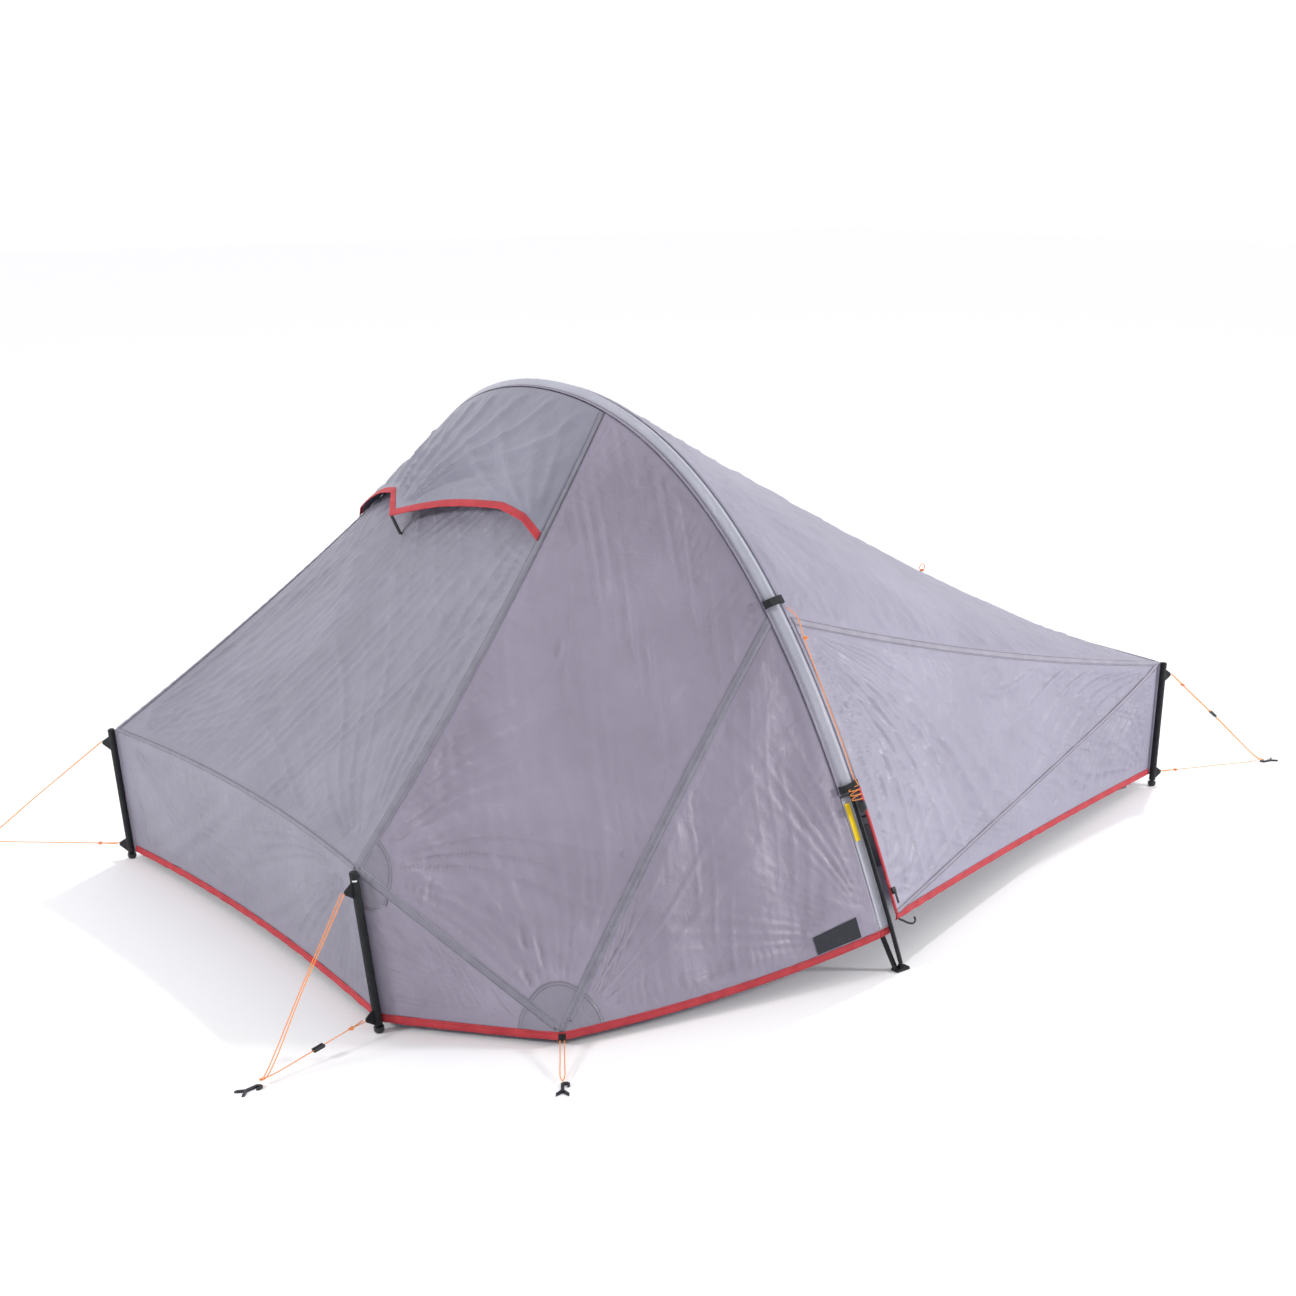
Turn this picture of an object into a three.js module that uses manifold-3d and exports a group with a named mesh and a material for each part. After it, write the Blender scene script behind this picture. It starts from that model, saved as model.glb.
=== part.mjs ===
// One-hoop trekking tent, pitched: flysheet, hoop pole, four corner posts, inner tent,
// guylines and pegs.
//
// Millimetres, Z up, ground at Z = 0. X runs along the tent and the origin is on the ground
// midway between the feet of the hoop. "near" is the door side, at negative Y, and "left"
// is the vent end, at negative X.
//
// Every piece of cloth is a surface(u, v) bounded by shared edge curves, given a thickness
// and drawn back a little from its neighbours, so the seams are narrow gaps.
import * as THREE from 'three';
import { mergeVertices } from 'three/addons/utils/BufferGeometryUtils.js';
import Module from 'manifold-3d';

const wasm = await Module();
wasm.setup();

// ---------------------------------------------------------------- driving dimensions
const HOOP_HEIGHT = 1100;
const HOOP_HALF_SPAN = 978;
const HOOP_LEAN = -162; // the top of the hoop stands this far towards the vent end
const HOOP_LEG = [852, 492]; // half width and height that the straight leg aims at
const HOOP_SHOULDER = 638; // half width of the round top
const LEFT_END = -963; // X of the post feet at the vent end
const RIGHT_END = 1324; // X of the post feet at the foot end
const END_HALF_WIDTH = 567;
const POST_HEIGHT = 324;
const POST_LEAN_OUT = 34;
const POST_LEAN_IN = 14;

const FABRIC = 0.8;
const SEAM_GAP = 1; // each panel stops this far short of a seam
const APEX_GAP = 16; // and this far short of the tip of a triangle
const HEM_HEIGHT = 15;
const HEM_THICK = 2.2;

const SLEEVE_WIDTH = 46;
const SLEEVE_THICK = 13;
const SLEEVE_WALL = 1.3;
const WEBBING = 1.2;
const BAND_CLEARANCE = 6;
const HOOP_LEG_LENGTH = 1500; // half of the hoop, measured along it
const SLEEVE_END_Y = 869; // the sleeve stops here and the pole runs on bare to its foot
const PANEL_SIDEWAYS = SLEEVE_WIDTH / 2 + 1.5; // panels start beside the sleeve
const PANEL_DEPTH = SLEEVE_THICK + 1; // and level with its inner face

const TAIL_EDGE = 6; // the near tail is cut back here, beside the door

const POLE_RADIUS = 4.75;
const POLE_BORE = 3.95;
const STUB_RADIUS = 3.7;
const STUB_BORE = 2.4;
const STUB_LENGTH = 35;
const SHOCK_CORD_RADIUS = 1.2;
const POLE_SECTIONS = 4;
const SECTION_STEPS = 10;
const POLE_FOOT_U = 0.99;

const POST_SLEEVE_RADIUS = 8.2;
const POST_BORE = 5.2;
const ROD_RADIUS = 4.5;
const POST_TO_CLOTH = 9; // the cloth's corner stands this far inside a post's axis, in X and in Y

const CORD_RADIUS = 1;
const CORD_SIDES = 8;

// Heights of the flysheet's lower edge.
const HEM_LEFT = 16;
const HEM_RIGHT = 30;
const HEM_AT_HOOP = 75;
const HEM_AT_DOOR = 92;
const TOP_CORNER = 322;

// Where the seams meet the hoop, as Y on the hoop.
const SEAM_LEFT_NEAR = -223;
const SEAM_LEFT_FAR = 550;
const SEAM_SIDE = -707;
const SEAM_RIGHT = 716;
const DOOR_TOP = -732; // the door leaf ends below the upper seam, so it can fold clear of it

const PEG_OUT = new THREE.Vector3(-732, -827, 15); // corner of the near hem, pegged at the ground
const ROOF_LOOP_U = 0.35;
const ROOF_LOOP_V = 0.65;
const ROOF_LOOP_HEIGHT = 22;

const TUB = { left: -900, right: 1258, halfWidth: 538, height: 110, wall: 1.5 };

// ---------------------------------------------------------------- materials
function finish(colour, roughness, metalness = 0) {
  return new THREE.MeshStandardMaterial({ color: colour, roughness, metalness, side: THREE.DoubleSide });
}
const DARK_CLOTH = finish(0x8f8b97, 0.7);
const MID_CLOTH = finish(0xa3a1ad, 0.7);
const LIGHT_CLOTH = finish(0xb8b4c4, 0.7);
const SLEEVE_CLOTH = finish(0xbec4cc, 0.6);
const RED_TAPE = finish(0xc8404a, 0.6);
const BLACK_WEBBING = finish(0x17191d, 0.8);
const YELLOW_WEBBING = finish(0xf6d31f, 0.7);
const DARK_PLASTIC = finish(0x24262b, 0.45);
const POLE_METAL = finish(0x202226, 0.35, 0.8);
const ORANGE_CORD = finish(0xff8a2a, 0.7);
const INNER_MESH = finish(0xd9d9dd, 0.8);
const TUB_CLOTH = finish(0x77757f, 0.6);
const ELASTIC = finish(0xe8e8e8, 0.8);

// ---------------------------------------------------------------- small helpers
const lerp = THREE.MathUtils.lerp;
const point = (x, y, z) => new THREE.Vector3(x, y, z);
const UP = point(0, 0, 1);

// A curve from a to b, bowed by sag at its middle.
function bowed(a, b, sag = point(0, 0, 0)) {
  return (t) => a.clone().lerp(b, t).addScaledVector(sag, 4 * t * (1 - t));
}

function raised(curve, height) {
  return (t) => curve(t).addScaledVector(UP, height);
}

function reversed(curve) {
  return (t) => curve(1 - t);
}

// A surface that fills four edge curves. low and high run along u, start and end along v;
// belly moves its middle.
function filled({ low, high, start, end, belly = point(0, 0, 0) }) {
  return (u, v) => {
    const across = low(u).multiplyScalar(1 - v).addScaledVector(high(u), v);
    const along = start(v).multiplyScalar(1 - u).addScaledVector(end(v), u);
    const corners = low(0).multiplyScalar((1 - u) * (1 - v));
    corners.addScaledVector(low(1), u * (1 - v));
    corners.addScaledVector(high(0), (1 - u) * v);
    corners.addScaledVector(high(1), u * v);
    const fullness = 16 * u * (1 - u) * v * (1 - v);
    return across.add(along).sub(corners).addScaledVector(belly, fullness);
  };
}

function geometryFrom(points, faces) {
  const geometry = new THREE.BufferGeometry();
  const values = points.flatMap((p) => [p.x, p.y, p.z]);
  geometry.setAttribute('position', new THREE.Float32BufferAttribute(values, 3));
  geometry.setIndex(faces.flat());
  return geometry;
}

// The normal of a grid of points at one of its points.
function gridNormal(rows, i, j) {
  const last = rows[0].length - 1;
  const row = rows[j];
  const along = row[Math.min(i + 1, last)].clone().sub(row[Math.max(i - 1, 0)]);
  const above = rows[Math.min(j + 1, rows.length - 1)][i];
  const below = rows[Math.max(j - 1, 0)][i];
  return along.cross(above.clone().sub(below)).normalize();
}

// A closed sheet of even thickness with the grid as its mid surface.
function thickSheet(rows, thick, lift = 0) {
  const nu = rows[0].length;
  const nv = rows.length;
  const top = [];
  const bottom = [];
  for (let j = 0; j < nv; j += 1) {
    for (let i = 0; i < nu; i += 1) {
      const normal = gridNormal(rows, i, j);
      top.push(rows[j][i].clone().addScaledVector(normal, lift + thick / 2));
      bottom.push(rows[j][i].clone().addScaledVector(normal, lift - thick / 2));
    }
  }
  const under = nu * nv;
  const faces = [];
  for (let j = 0; j < nv - 1; j += 1) {
    for (let i = 0; i < nu - 1; i += 1) {
      const a = j * nu + i;
      const b = a + 1;
      const c = b + nu;
      const d = a + nu;
      faces.push([a, b, c], [a, c, d]);
      faces.push([a + under, c + under, b + under], [a + under, d + under, c + under]);
    }
  }
  const rim = [];
  for (let i = 0; i < nu - 1; i += 1) rim.push(i);
  for (let j = 0; j < nv - 1; j += 1) rim.push(j * nu + nu - 1);
  for (let i = nu - 1; i > 0; i -= 1) rim.push((nv - 1) * nu + i);
  for (let j = nv - 1; j > 0; j -= 1) rim.push(j * nu);
  rim.forEach((p, k) => {
    const q = rim[(k + 1) % rim.length];
    faces.push([p, p + under, q + under], [p, q + under, q]);
  });
  return geometryFrom([...top, ...bottom], faces);
}

// Cloth on part of a surface. It is drawn back by gap from the edges u = 0, u = 1 and the two
// v limits; a triangle, whose far edge has no width, is cut short by APEX_GAP.
function cloth(surface, options) {
  const { nu, nv, u = [0, 1], v = [0, 1], gap = SEAM_GAP } = options;
  const { triangle = false, thick = FABRIC, lift = 0 } = options;
  const middle = (u[0] + u[1]) / 2;
  const length = surface(middle, v[0]).distanceTo(surface(middle, v[1]));
  const scale = (v[1] - v[0]) / length;
  const vStart = v[0] + gap * scale;
  const vEnd = v[1] - (triangle ? APEX_GAP : gap) * scale;
  const rows = [];
  for (let j = 0; j <= nv; j += 1) {
    const vj = lerp(vStart, vEnd, j / nv);
    const width = surface(u[0], vj).distanceTo(surface(u[1], vj));
    const edge = Math.min(0.4, gap / width) * (u[1] - u[0]);
    const row = [];
    for (let i = 0; i <= nu; i += 1) row.push(surface(lerp(u[0] + edge, u[1] - edge, i / nu), vj));
    rows.push(row);
  }
  return thickSheet(rows, thick, lift);
}

// A closed solid through rings that come back to the first one.
function ringLoft(rings) {
  const sides = rings[0].length;
  const faces = [];
  rings.forEach((ring, k) => {
    const base = k * sides;
    const next = ((k + 1) % rings.length) * sides;
    for (let i = 0; i < sides; i += 1) {
      const j = (i + 1) % sides;
      faces.push([base + i, base + j, next + j], [base + i, next + j, next + i]);
    }
  });
  return geometryFrom(rings.flat(), faces);
}

// A solid for joining and cutting, and back again.
function solidFrom(geometry) {
  const bare = geometry.clone();
  bare.deleteAttribute('normal');
  bare.deleteAttribute('uv');
  const merged = mergeVertices(bare);
  const vertProperties = new Float32Array(merged.attributes.position.array);
  const triVerts = new Uint32Array(merged.index.array);
  return new wasm.Manifold(new wasm.Mesh({ numProp: 3, vertProperties, triVerts }));
}

function geometryOf(solid) {
  const mesh = solid.getMesh();
  const geometry = new THREE.BufferGeometry();
  geometry.setAttribute('position', new THREE.BufferAttribute(new Float32Array(mesh.vertProperties), 3));
  geometry.setIndex(new THREE.BufferAttribute(new Uint32Array(mesh.triVerts), 1));
  return geometry;
}

function joined(geometries) {
  return geometryOf(geometries.map(solidFrom).reduce((whole, piece) => whole.add(piece)));
}

function box(sizeX, sizeY, sizeZ, centre) {
  return new THREE.BoxGeometry(sizeX, sizeY, sizeZ).translate(centre.x, centre.y, centre.z);
}

// Turns a shape built about the origin so its Z runs along direction and its X stays close
// to sideways, then puts it at place.
function placed(geometry, place, direction, sideways = point(1, 0, 0)) {
  const z = direction.clone().normalize();
  const y = z.clone().cross(sideways).normalize();
  const x = y.clone().cross(z);
  const turn = new THREE.Matrix4().makeBasis(x, y, z).setPosition(place);
  return geometry.applyMatrix4(turn);
}

// A round cord through hand-placed points.
function cord(points, steps) {
  const section = new THREE.Shape();
  section.absarc(0, 0, CORD_RADIUS, 0, Math.PI * 2);
  const path = new THREE.CatmullRomCurve3(points, false, 'centripetal');
  return new THREE.ExtrudeGeometry(section, { steps, curveSegments: CORD_SIDES / 2, extrudePath: path });
}

const tent = new THREE.Group();

function add(name, geometry, material) {
  const mesh = new THREE.Mesh(geometry, material);
  mesh.name = name;
  tent.add(mesh);
}

// ---------------------------------------------------------------- the hoop's line
const halfHoop = new THREE.CubicBezierCurve(
  new THREE.Vector2(0, HOOP_HEIGHT),
  new THREE.Vector2(HOOP_SHOULDER, HOOP_HEIGHT),
  new THREE.Vector2(HOOP_LEG[0], HOOP_LEG[1]),
  new THREE.Vector2(HOOP_HALF_SPAN, 0),
);
const HOOP_NORMAL = point(HOOP_HEIGHT, 0, -HOOP_LEAN).normalize();

// The outer line of the hoop: u is -1 at the near foot, 0 at the top and 1 at the far foot.
function hoopPoint(u) {
  const p = halfHoop.getPoint(Math.abs(u));
  return point((HOOP_LEAN * p.y) / HOOP_HEIGHT, Math.sign(u) * p.x, p.y);
}

// A point beside the hoop's line: sideways across the sleeve and depth into the tent.
function hoopEdge(u, sideways, depth) {
  const step = 0.005;
  const tangent = hoopPoint(Math.min(u + step, 1)).sub(hoopPoint(Math.max(u - step, -1))).normalize();
  const inward = tangent.cross(HOOP_NORMAL);
  return hoopPoint(u).addScaledVector(HOOP_NORMAL, sideways).addScaledVector(inward, depth);
}

// The u at which a rising measure of the half hoop reaches a value.
function hoopParam(measure, value) {
  let low = 0;
  let high = 1;
  for (let k = 0; k < 30; k += 1) {
    const middle = (low + high) / 2;
    if (measure(halfHoop.getPoint(middle)) < value) low = middle;
    else high = middle;
  }
  return (low + high) / 2;
}
const hoopAtY = (y) => Math.sign(y) * hoopParam((p) => p.x, Math.abs(y));
const hoopAtHeight = (z) => hoopParam((p) => -p.y, -z);

function hoopCurve(uFrom, uTo, sideways, depth = PANEL_DEPTH) {
  return (t) => hoopEdge(lerp(uFrom, uTo, t), sideways, depth);
}

// ---------------------------------------------------------------- corners and edges
function postAt(endX, side, height) {
  const share = height / POST_HEIGHT;
  const x = endX + Math.sign(endX) * POST_LEAN_OUT * share;
  return point(x, side * (END_HALF_WIDTH - POST_LEAN_IN * share), height);
}

function clothCorner(endX, side, height) {
  const corner = postAt(endX, side, height);
  corner.x -= Math.sign(endX) * POST_TO_CLOTH;
  corner.y -= side * POST_TO_CLOTH;
  return corner;
}

const NEAR = -1;
const FAR = 1;
const U_HEM = hoopAtHeight(HEM_AT_HOOP + HEM_HEIGHT);
const U_HEM_DOOR = hoopAtHeight(HEM_AT_DOOR + HEM_HEIGHT);
const U_SLEEVE_END = hoopAtY(SLEEVE_END_Y);

const topLeft = { near: clothCorner(LEFT_END, NEAR, TOP_CORNER), far: clothCorner(LEFT_END, FAR, TOP_CORNER) };
const topRight = { near: clothCorner(RIGHT_END, NEAR, TOP_CORNER), far: clothCorner(RIGHT_END, FAR, TOP_CORNER) };
const footLeft = { near: clothCorner(LEFT_END, NEAR, HEM_LEFT), far: clothCorner(LEFT_END, FAR, HEM_LEFT) };
const footRight = { near: clothCorner(RIGHT_END, NEAR, HEM_RIGHT), far: clothCorner(RIGHT_END, FAR, HEM_RIGHT) };

const hoopLeft = (u) => hoopEdge(u, -PANEL_SIDEWAYS, PANEL_DEPTH);
const hoopRight = (u) => hoopEdge(u, PANEL_SIDEWAYS, PANEL_DEPTH);
const dropped = (p) => p.clone().addScaledVector(UP, -HEM_HEIGHT);
const hemHoopNear = dropped(hoopLeft(-U_HEM));
const hemDoor = dropped(hoopEdge(-U_HEM_DOOR, PANEL_SIDEWAYS + 12, PANEL_DEPTH));
const hemHoopFarLeft = dropped(hoopLeft(U_HEM));
const hemHoopFarRight = dropped(hoopRight(U_HEM));

// Hem lines, along the bottom of the red tape.
const hem = {
  nearUnderHoop: bowed(dropped(hoopEdge(-U_HEM, TAIL_EDGE, PANEL_DEPTH)), hemHoopNear),
  hoopToPegOut: bowed(hemHoopNear, PEG_OUT, point(0, -10, -12)),
  pegOutToPost: bowed(PEG_OUT, footLeft.near, point(2, 0, -3)),
  leftEnd: bowed(footLeft.near, footLeft.far, point(20, 0, 10)),
  farLeft: bowed(footLeft.far, hemHoopFarLeft, point(0, -15, 0)),
  farUnderHoop: bowed(hemHoopFarLeft, hemHoopFarRight),
  farRight: bowed(hemHoopFarRight, footRight.far, point(0, -15, 0)),
  rightEnd: bowed(footRight.far, footRight.near, point(-40, 0, 18)),
  door: bowed(hemDoor, footRight.near, point(0, 15, -3)),
};
const pegOutTop = PEG_OUT.clone().addScaledVector(UP, HEM_HEIGHT);
const postEdge = (foot, top) => bowed(foot.clone().addScaledVector(UP, HEM_HEIGHT), top);

const uLeftNear = hoopAtY(SEAM_LEFT_NEAR);
const uLeftFar = hoopAtY(SEAM_LEFT_FAR);
const uSide = hoopAtY(SEAM_SIDE);
const uRight = hoopAtY(SEAM_RIGHT);
const uDoorTop = hoopAtY(DOOR_TOP);

const seam = {
  leftNear: bowed(hoopLeft(uLeftNear), topLeft.near, point(15, 10, -22)),
  leftFar: bowed(hoopLeft(uLeftFar), topLeft.far, point(15, -10, -3)),
  side: bowed(hoopLeft(uSide), pegOutTop, point(0, 12, -4)),
  corner: bowed(topLeft.near, pegOutTop, point(4, 4, -4)),
  rightNear: bowed(hoopRight(-uRight), topRight.near, point(0, 8, -25)),
  rightFar: bowed(hoopRight(uRight), topRight.far, point(0, -8, -25)),
  fold: bowed(hoopRight(-uRight), footRight.near.clone().addScaledVector(UP, HEM_HEIGHT)),
};
const topEdge = {
  left: bowed(topLeft.near, topLeft.far, point(35, 0, 3)),
  right: bowed(topRight.near, topRight.far, point(-8, 0, 10)),
};

// ---------------------------------------------------------------- flysheet surfaces
const roofLeft = filled({
  low: hoopCurve(uLeftNear, uLeftFar, -PANEL_SIDEWAYS),
  high: topEdge.left,
  start: seam.leftNear,
  end: seam.leftFar,
  belly: point(0, 0, -4),
});
const roofRight = filled({
  low: hoopCurve(-uRight, uRight, PANEL_SIDEWAYS),
  high: topEdge.right,
  start: seam.rightNear,
  end: seam.rightFar,
  belly: point(0, 0, 12),
});
const sideMain = filled({
  low: reversed(seam.side),
  high: reversed(seam.leftNear),
  start: reversed(seam.corner),
  end: hoopCurve(uSide, uLeftNear, -PANEL_SIDEWAYS),
  belly: point(6, 16, -8),
});
const sideHoop = filled({
  low: hoopCurve(-U_HEM, uSide, -PANEL_SIDEWAYS),
  high: () => pegOutTop.clone(),
  start: raised(hem.hoopToPegOut, HEM_HEIGHT),
  end: seam.side,
});
const sideCorner = filled({
  low: postEdge(footLeft.near, topLeft.near),
  high: () => pegOutTop.clone(),
  start: raised(reversed(hem.pegOutToPost), HEM_HEIGHT),
  end: seam.corner,
});
const sideRight = filled({
  low: postEdge(footRight.near, topRight.near),
  high: () => hoopRight(-uRight),
  start: reversed(seam.fold),
  end: reversed(seam.rightNear),
});
const door = filled({
  low: hoopCurve(-U_HEM_DOOR, uDoorTop, PANEL_SIDEWAYS + 12),
  high: () => footRight.near.clone().addScaledVector(UP, HEM_HEIGHT),
  start: raised(hem.door, HEM_HEIGHT),
  end: bowed(hoopEdge(uDoorTop, PANEL_SIDEWAYS + 12, PANEL_DEPTH), seam.fold(1)),
});
const sideFarLeft = filled({
  low: raised(hem.farLeft, HEM_HEIGHT),
  high: reversed(seam.leftFar),
  start: postEdge(footLeft.far, topLeft.far),
  end: hoopCurve(U_HEM, uLeftFar, -PANEL_SIDEWAYS),
  belly: point(0, -14, 0),
});
const sideFarRight = filled({
  low: raised(reversed(hem.farRight), HEM_HEIGHT),
  high: reversed(seam.rightFar),
  start: postEdge(footRight.far, topRight.far),
  end: hoopCurve(U_HEM, uRight, PANEL_SIDEWAYS),
  belly: point(0, -14, 0),
});
const endLeft = filled({
  low: raised(hem.leftEnd, HEM_HEIGHT),
  high: topEdge.left,
  start: postEdge(footLeft.near, topLeft.near),
  end: postEdge(footLeft.far, topLeft.far),
});
const endRight = filled({
  low: raised(reversed(hem.rightEnd), HEM_HEIGHT),
  high: topEdge.right,
  start: postEdge(footRight.near, topRight.near),
  end: postEdge(footRight.far, topRight.far),
});

// ---------------------------------------------------------------- flysheet panels
const VENT_BOTTOM = 0.2; // the roof cloth stops here and mesh closes the rest, up to the hoop

function addFlysheet() {
  add('fly_roof_left', cloth(roofLeft, { nu: 10, nv: 7, v: [VENT_BOTTOM, 1] }), MID_CLOTH);
  add('vent_mesh', cloth(roofLeft, { nu: 10, nv: 2, v: [0, VENT_BOTTOM] }), BLACK_WEBBING);
  add('fly_roof_right', cloth(roofRight, { nu: 12, nv: 7 }), LIGHT_CLOTH);
  add('fly_side_main', cloth(sideMain, { nu: 9, nv: 8 }), DARK_CLOTH);
  add('fly_side_hoop', cloth(sideHoop, { nu: 6, nv: 7, triangle: true }), DARK_CLOTH);
  add('fly_side_corner', cloth(sideCorner, { nu: 3, nv: 4, triangle: true }), DARK_CLOTH);
  add('fly_side_right', cloth(sideRight, { nu: 3, nv: 7, triangle: true }), LIGHT_CLOTH);
  add('fly_side_far_left', cloth(sideFarLeft, { nu: 7, nv: 6 }), MID_CLOTH);
  add('fly_side_far_right', cloth(sideFarRight, { nu: 8, nv: 6 }), LIGHT_CLOTH);
  add('fly_end_left', cloth(endLeft, { nu: 8, nv: 3 }), MID_CLOTH);
  add('fly_end_right', cloth(endRight, { nu: 8, nv: 3 }), LIGHT_CLOTH);
}

function addDoor() {
  const edge = { nu: 6, nv: 8, triangle: true, gap: 1.5 };
  add('fly_door', cloth(door, edge), LIGHT_CLOTH);
  // Red tape up the front edge, between the cloth and the pole sleeve.
  const front = (u, v) => {
    const sideways = lerp(PANEL_SIDEWAYS + 1.5, PANEL_SIDEWAYS + 11, v);
    return hoopEdge(lerp(-U_HEM_DOOR, uDoorTop, u), sideways, PANEL_DEPTH);
  };
  const lengthwise = { nu: 8, nv: 1, gap: 0, u: [0, 0.985] };
  add('door_edge_tape', cloth(front, { ...lengthwise, thick: HEM_THICK }), RED_TAPE);
  const tape = (u, v) => hem.door(u).addScaledVector(UP, v * HEM_HEIGHT);
  add('hem_door', cloth(tape, { nu: 8, nv: 1, u: [0.001, 0.985], thick: HEM_THICK }), RED_TAPE);
}

function addHem() {
  const runs = [
    [hem.nearUnderHoop, 1],
    [hem.hoopToPegOut, 6],
    [hem.pegOutToPost, 3],
    [hem.leftEnd, 6],
    [hem.farLeft, 6],
    [hem.farUnderHoop, 1],
    [hem.farRight, 6],
    [hem.rightEnd, 6],
  ];
  const line = [runs[0][0](0)];
  for (const [curve, steps] of runs) {
    for (let k = 1; k <= steps; k += 1) line.push(curve(k / steps));
  }
  const gap = point(0, 0, SEAM_GAP);
  const upper = line.map((p) => dropped(p).addScaledVector(UP, 2 * HEM_HEIGHT).sub(gap));
  add('hem_tape', thickSheet([line, upper], HEM_THICK), RED_TAPE);
}

// ---------------------------------------------------------------- vent hood
// The hood's free lip, from the near seam to the far one: position across the roof, position
// down the roof, and height of the lip above the roof.
const LIP = [
  [0, 0.3, 5],
  [0.06, 0.285, 18],
  [0.14, 0.285, 28],
  [0.34, 0.32, 36],
  [0.53, 0.36, 42],
  [0.62, 0.29, 36],
  [0.72, 0.275, 30],
  [1, 0.245, 5],
];
const HOOD_TOP = 0.014; // clear of the sleeve, so the hood can swing
const HOOD_REST = 7;
const HOOD_COLUMNS = [0, 0.06, 0.14, 0.24, 0.34, 0.44, 0.53, 0.62, 0.72, 0.81, 0.9, 1];

function lipAt(u, column) {
  const k = Math.max(1, LIP.findIndex((entry) => entry[0] >= u));
  const [before, after] = [LIP[k - 1], LIP[k]];
  return lerp(before[column], after[column], (u - before[0]) / (after[0] - before[0]));
}

function roofNormal(u, v) {
  const step = 0.01;
  const along = roofLeft(Math.min(u + step, 1), v).sub(roofLeft(Math.max(u - step, 0), v));
  const down = roofLeft(u, v + step).sub(roofLeft(u, v));
  const normal = along.cross(down).normalize();
  return normal.z < 0 ? normal.negate() : normal;
}

// v is 0 at the hoop and 1 at the lip.
function hood(u, v) {
  const down = lerp(HOOD_TOP, lipAt(u, 1), v);
  const height = HOOD_REST + lipAt(u, 2) * v ** 1.5;
  return roofLeft(u, down).addScaledVector(roofNormal(u, down), height);
}

function hoodRows(from, to, steps, sideGap) {
  const rows = [];
  for (let j = 0; j <= steps; j += 1) {
    const v = lerp(from, to, j / steps);
    rows.push(HOOD_COLUMNS.map((u) => hood(THREE.MathUtils.clamp(u, sideGap, 1 - sideGap), v)));
  }
  return rows;
}

function addVentHood() {
  add('vent_hood', thickSheet(hoodRows(0, 0.945, 4, 0.004), FABRIC), MID_CLOTH);
  add('vent_hood_trim', thickSheet(hoodRows(0.95, 1, 1, 0.004), HEM_THICK), RED_TAPE);
  // Short flat stay that stands on the roof and carries the low point of the lip.
  const foot = roofLeft(0.53, 0.375);
  const normal = roofNormal(0.53, 0.375);
  const top = hood(0.53, 0.985);
  const stand = top.clone().sub(foot);
  const height = stand.length() - 7;
  const bar = new THREE.BoxGeometry(12, 2.4, height).translate(0, 0, height / 2);
  foot.addScaledVector(normal, 3.5);
  add('vent_stay', placed(bar, foot, stand, point(0, 1, 0)), BLACK_WEBBING);
}

// ---------------------------------------------------------------- pole sleeve and its trim
// An oval ring across the hoop's line.
function ovalRing(u, width, thick, sides = 12) {
  const ring = [];
  for (let k = 0; k < sides; k += 1) {
    const angle = (2 * Math.PI * k) / sides;
    const sideways = (width / 2) * Math.cos(angle);
    ring.push(hoopEdge(u, sideways, SLEEVE_THICK / 2 + (thick / 2) * Math.sin(angle)));
  }
  return ring;
}

// A flattened tube along the hoop, through the given stations.
function ovalTube(stations, width, thick, wall) {
  const outer = stations.map((u) => ovalRing(u, width, thick));
  const inner = stations.map((u) => ovalRing(u, width - 2 * wall, thick - 2 * wall));
  return ringLoft([...outer, ...inner.reverse()]);
}

// Places along the hoop shared by the pole and the sleeve, so that their facets agree.
const STATIONS = [];
for (let k = 0; k <= POLE_SECTIONS * SECTION_STEPS; k += 1) {
  STATIONS.push(lerp(-POLE_FOOT_U, POLE_FOOT_U, k / (POLE_SECTIONS * SECTION_STEPS)));
}

// A band of webbing round the sleeve.
function bandAcross(uMiddle, width) {
  const half = width / 2 / HOOP_LEG_LENGTH;
  const ends = [uMiddle - half, uMiddle + half];
  return ovalTube(ends, SLEEVE_WIDTH + BAND_CLEARANCE, SLEEVE_THICK + BAND_CLEARANCE, WEBBING);
}

function addSleeve() {
  const inside = STATIONS.filter((u) => Math.abs(u) < U_SLEEVE_END - 0.01);
  const stations = [-U_SLEEVE_END, ...inside, U_SLEEVE_END];
  add('pole_sleeve', ovalTube(stations, SLEEVE_WIDTH, SLEEVE_THICK, SLEEVE_WALL), SLEEVE_CLOTH);
  for (const [side, word, inner] of [[NEAR, 'near', TAIL_EDGE], [FAR, 'far', SLEEVE_WIDTH / 2]]) {
    const tail = (u, v) => {
      const along = side * lerp(U_SLEEVE_END + 0.008, U_HEM - 0.003, v);
      return hoopEdge(along, lerp(-SLEEVE_WIDTH / 2, inner, u), PANEL_DEPTH);
    };
    add(`sleeve_tail_${word}`, cloth(tail, { nu: 1, nv: 3 }), SLEEVE_CLOTH);
    add(`sleeve_collar_${word}`, bandAcross(side * (U_SLEEVE_END - 0.006), 14), BLACK_WEBBING);
  }
  // Yellow tab sewn to the tail, just under the sleeve's end.
  const tab = (u, v) => {
    const along = -lerp(U_SLEEVE_END + 0.012, U_SLEEVE_END + 0.06, v);
    return hoopEdge(along, lerp(-20, -8, u), PANEL_DEPTH - 1.6);
  };
  add('pull_tab_near', cloth(tab, { nu: 1, nv: 2, gap: 0, thick: 1.6 }), YELLOW_WEBBING);
  add('guy_strap_near', bandAcross(hoopAtY(-690), 16), BLACK_WEBBING);
}

// ---------------------------------------------------------------- hoop pole
// The centre of the pole at a place counted in stations.
function poleCentre(place) {
  const k = Math.min(Math.floor(place), STATIONS.length - 2);
  const start = hoopEdge(STATIONS[k], 0, SLEEVE_THICK / 2);
  const end = hoopEdge(STATIONS[k + 1], 0, SLEEVE_THICK / 2);
  return start.lerp(end, place - k);
}

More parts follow.
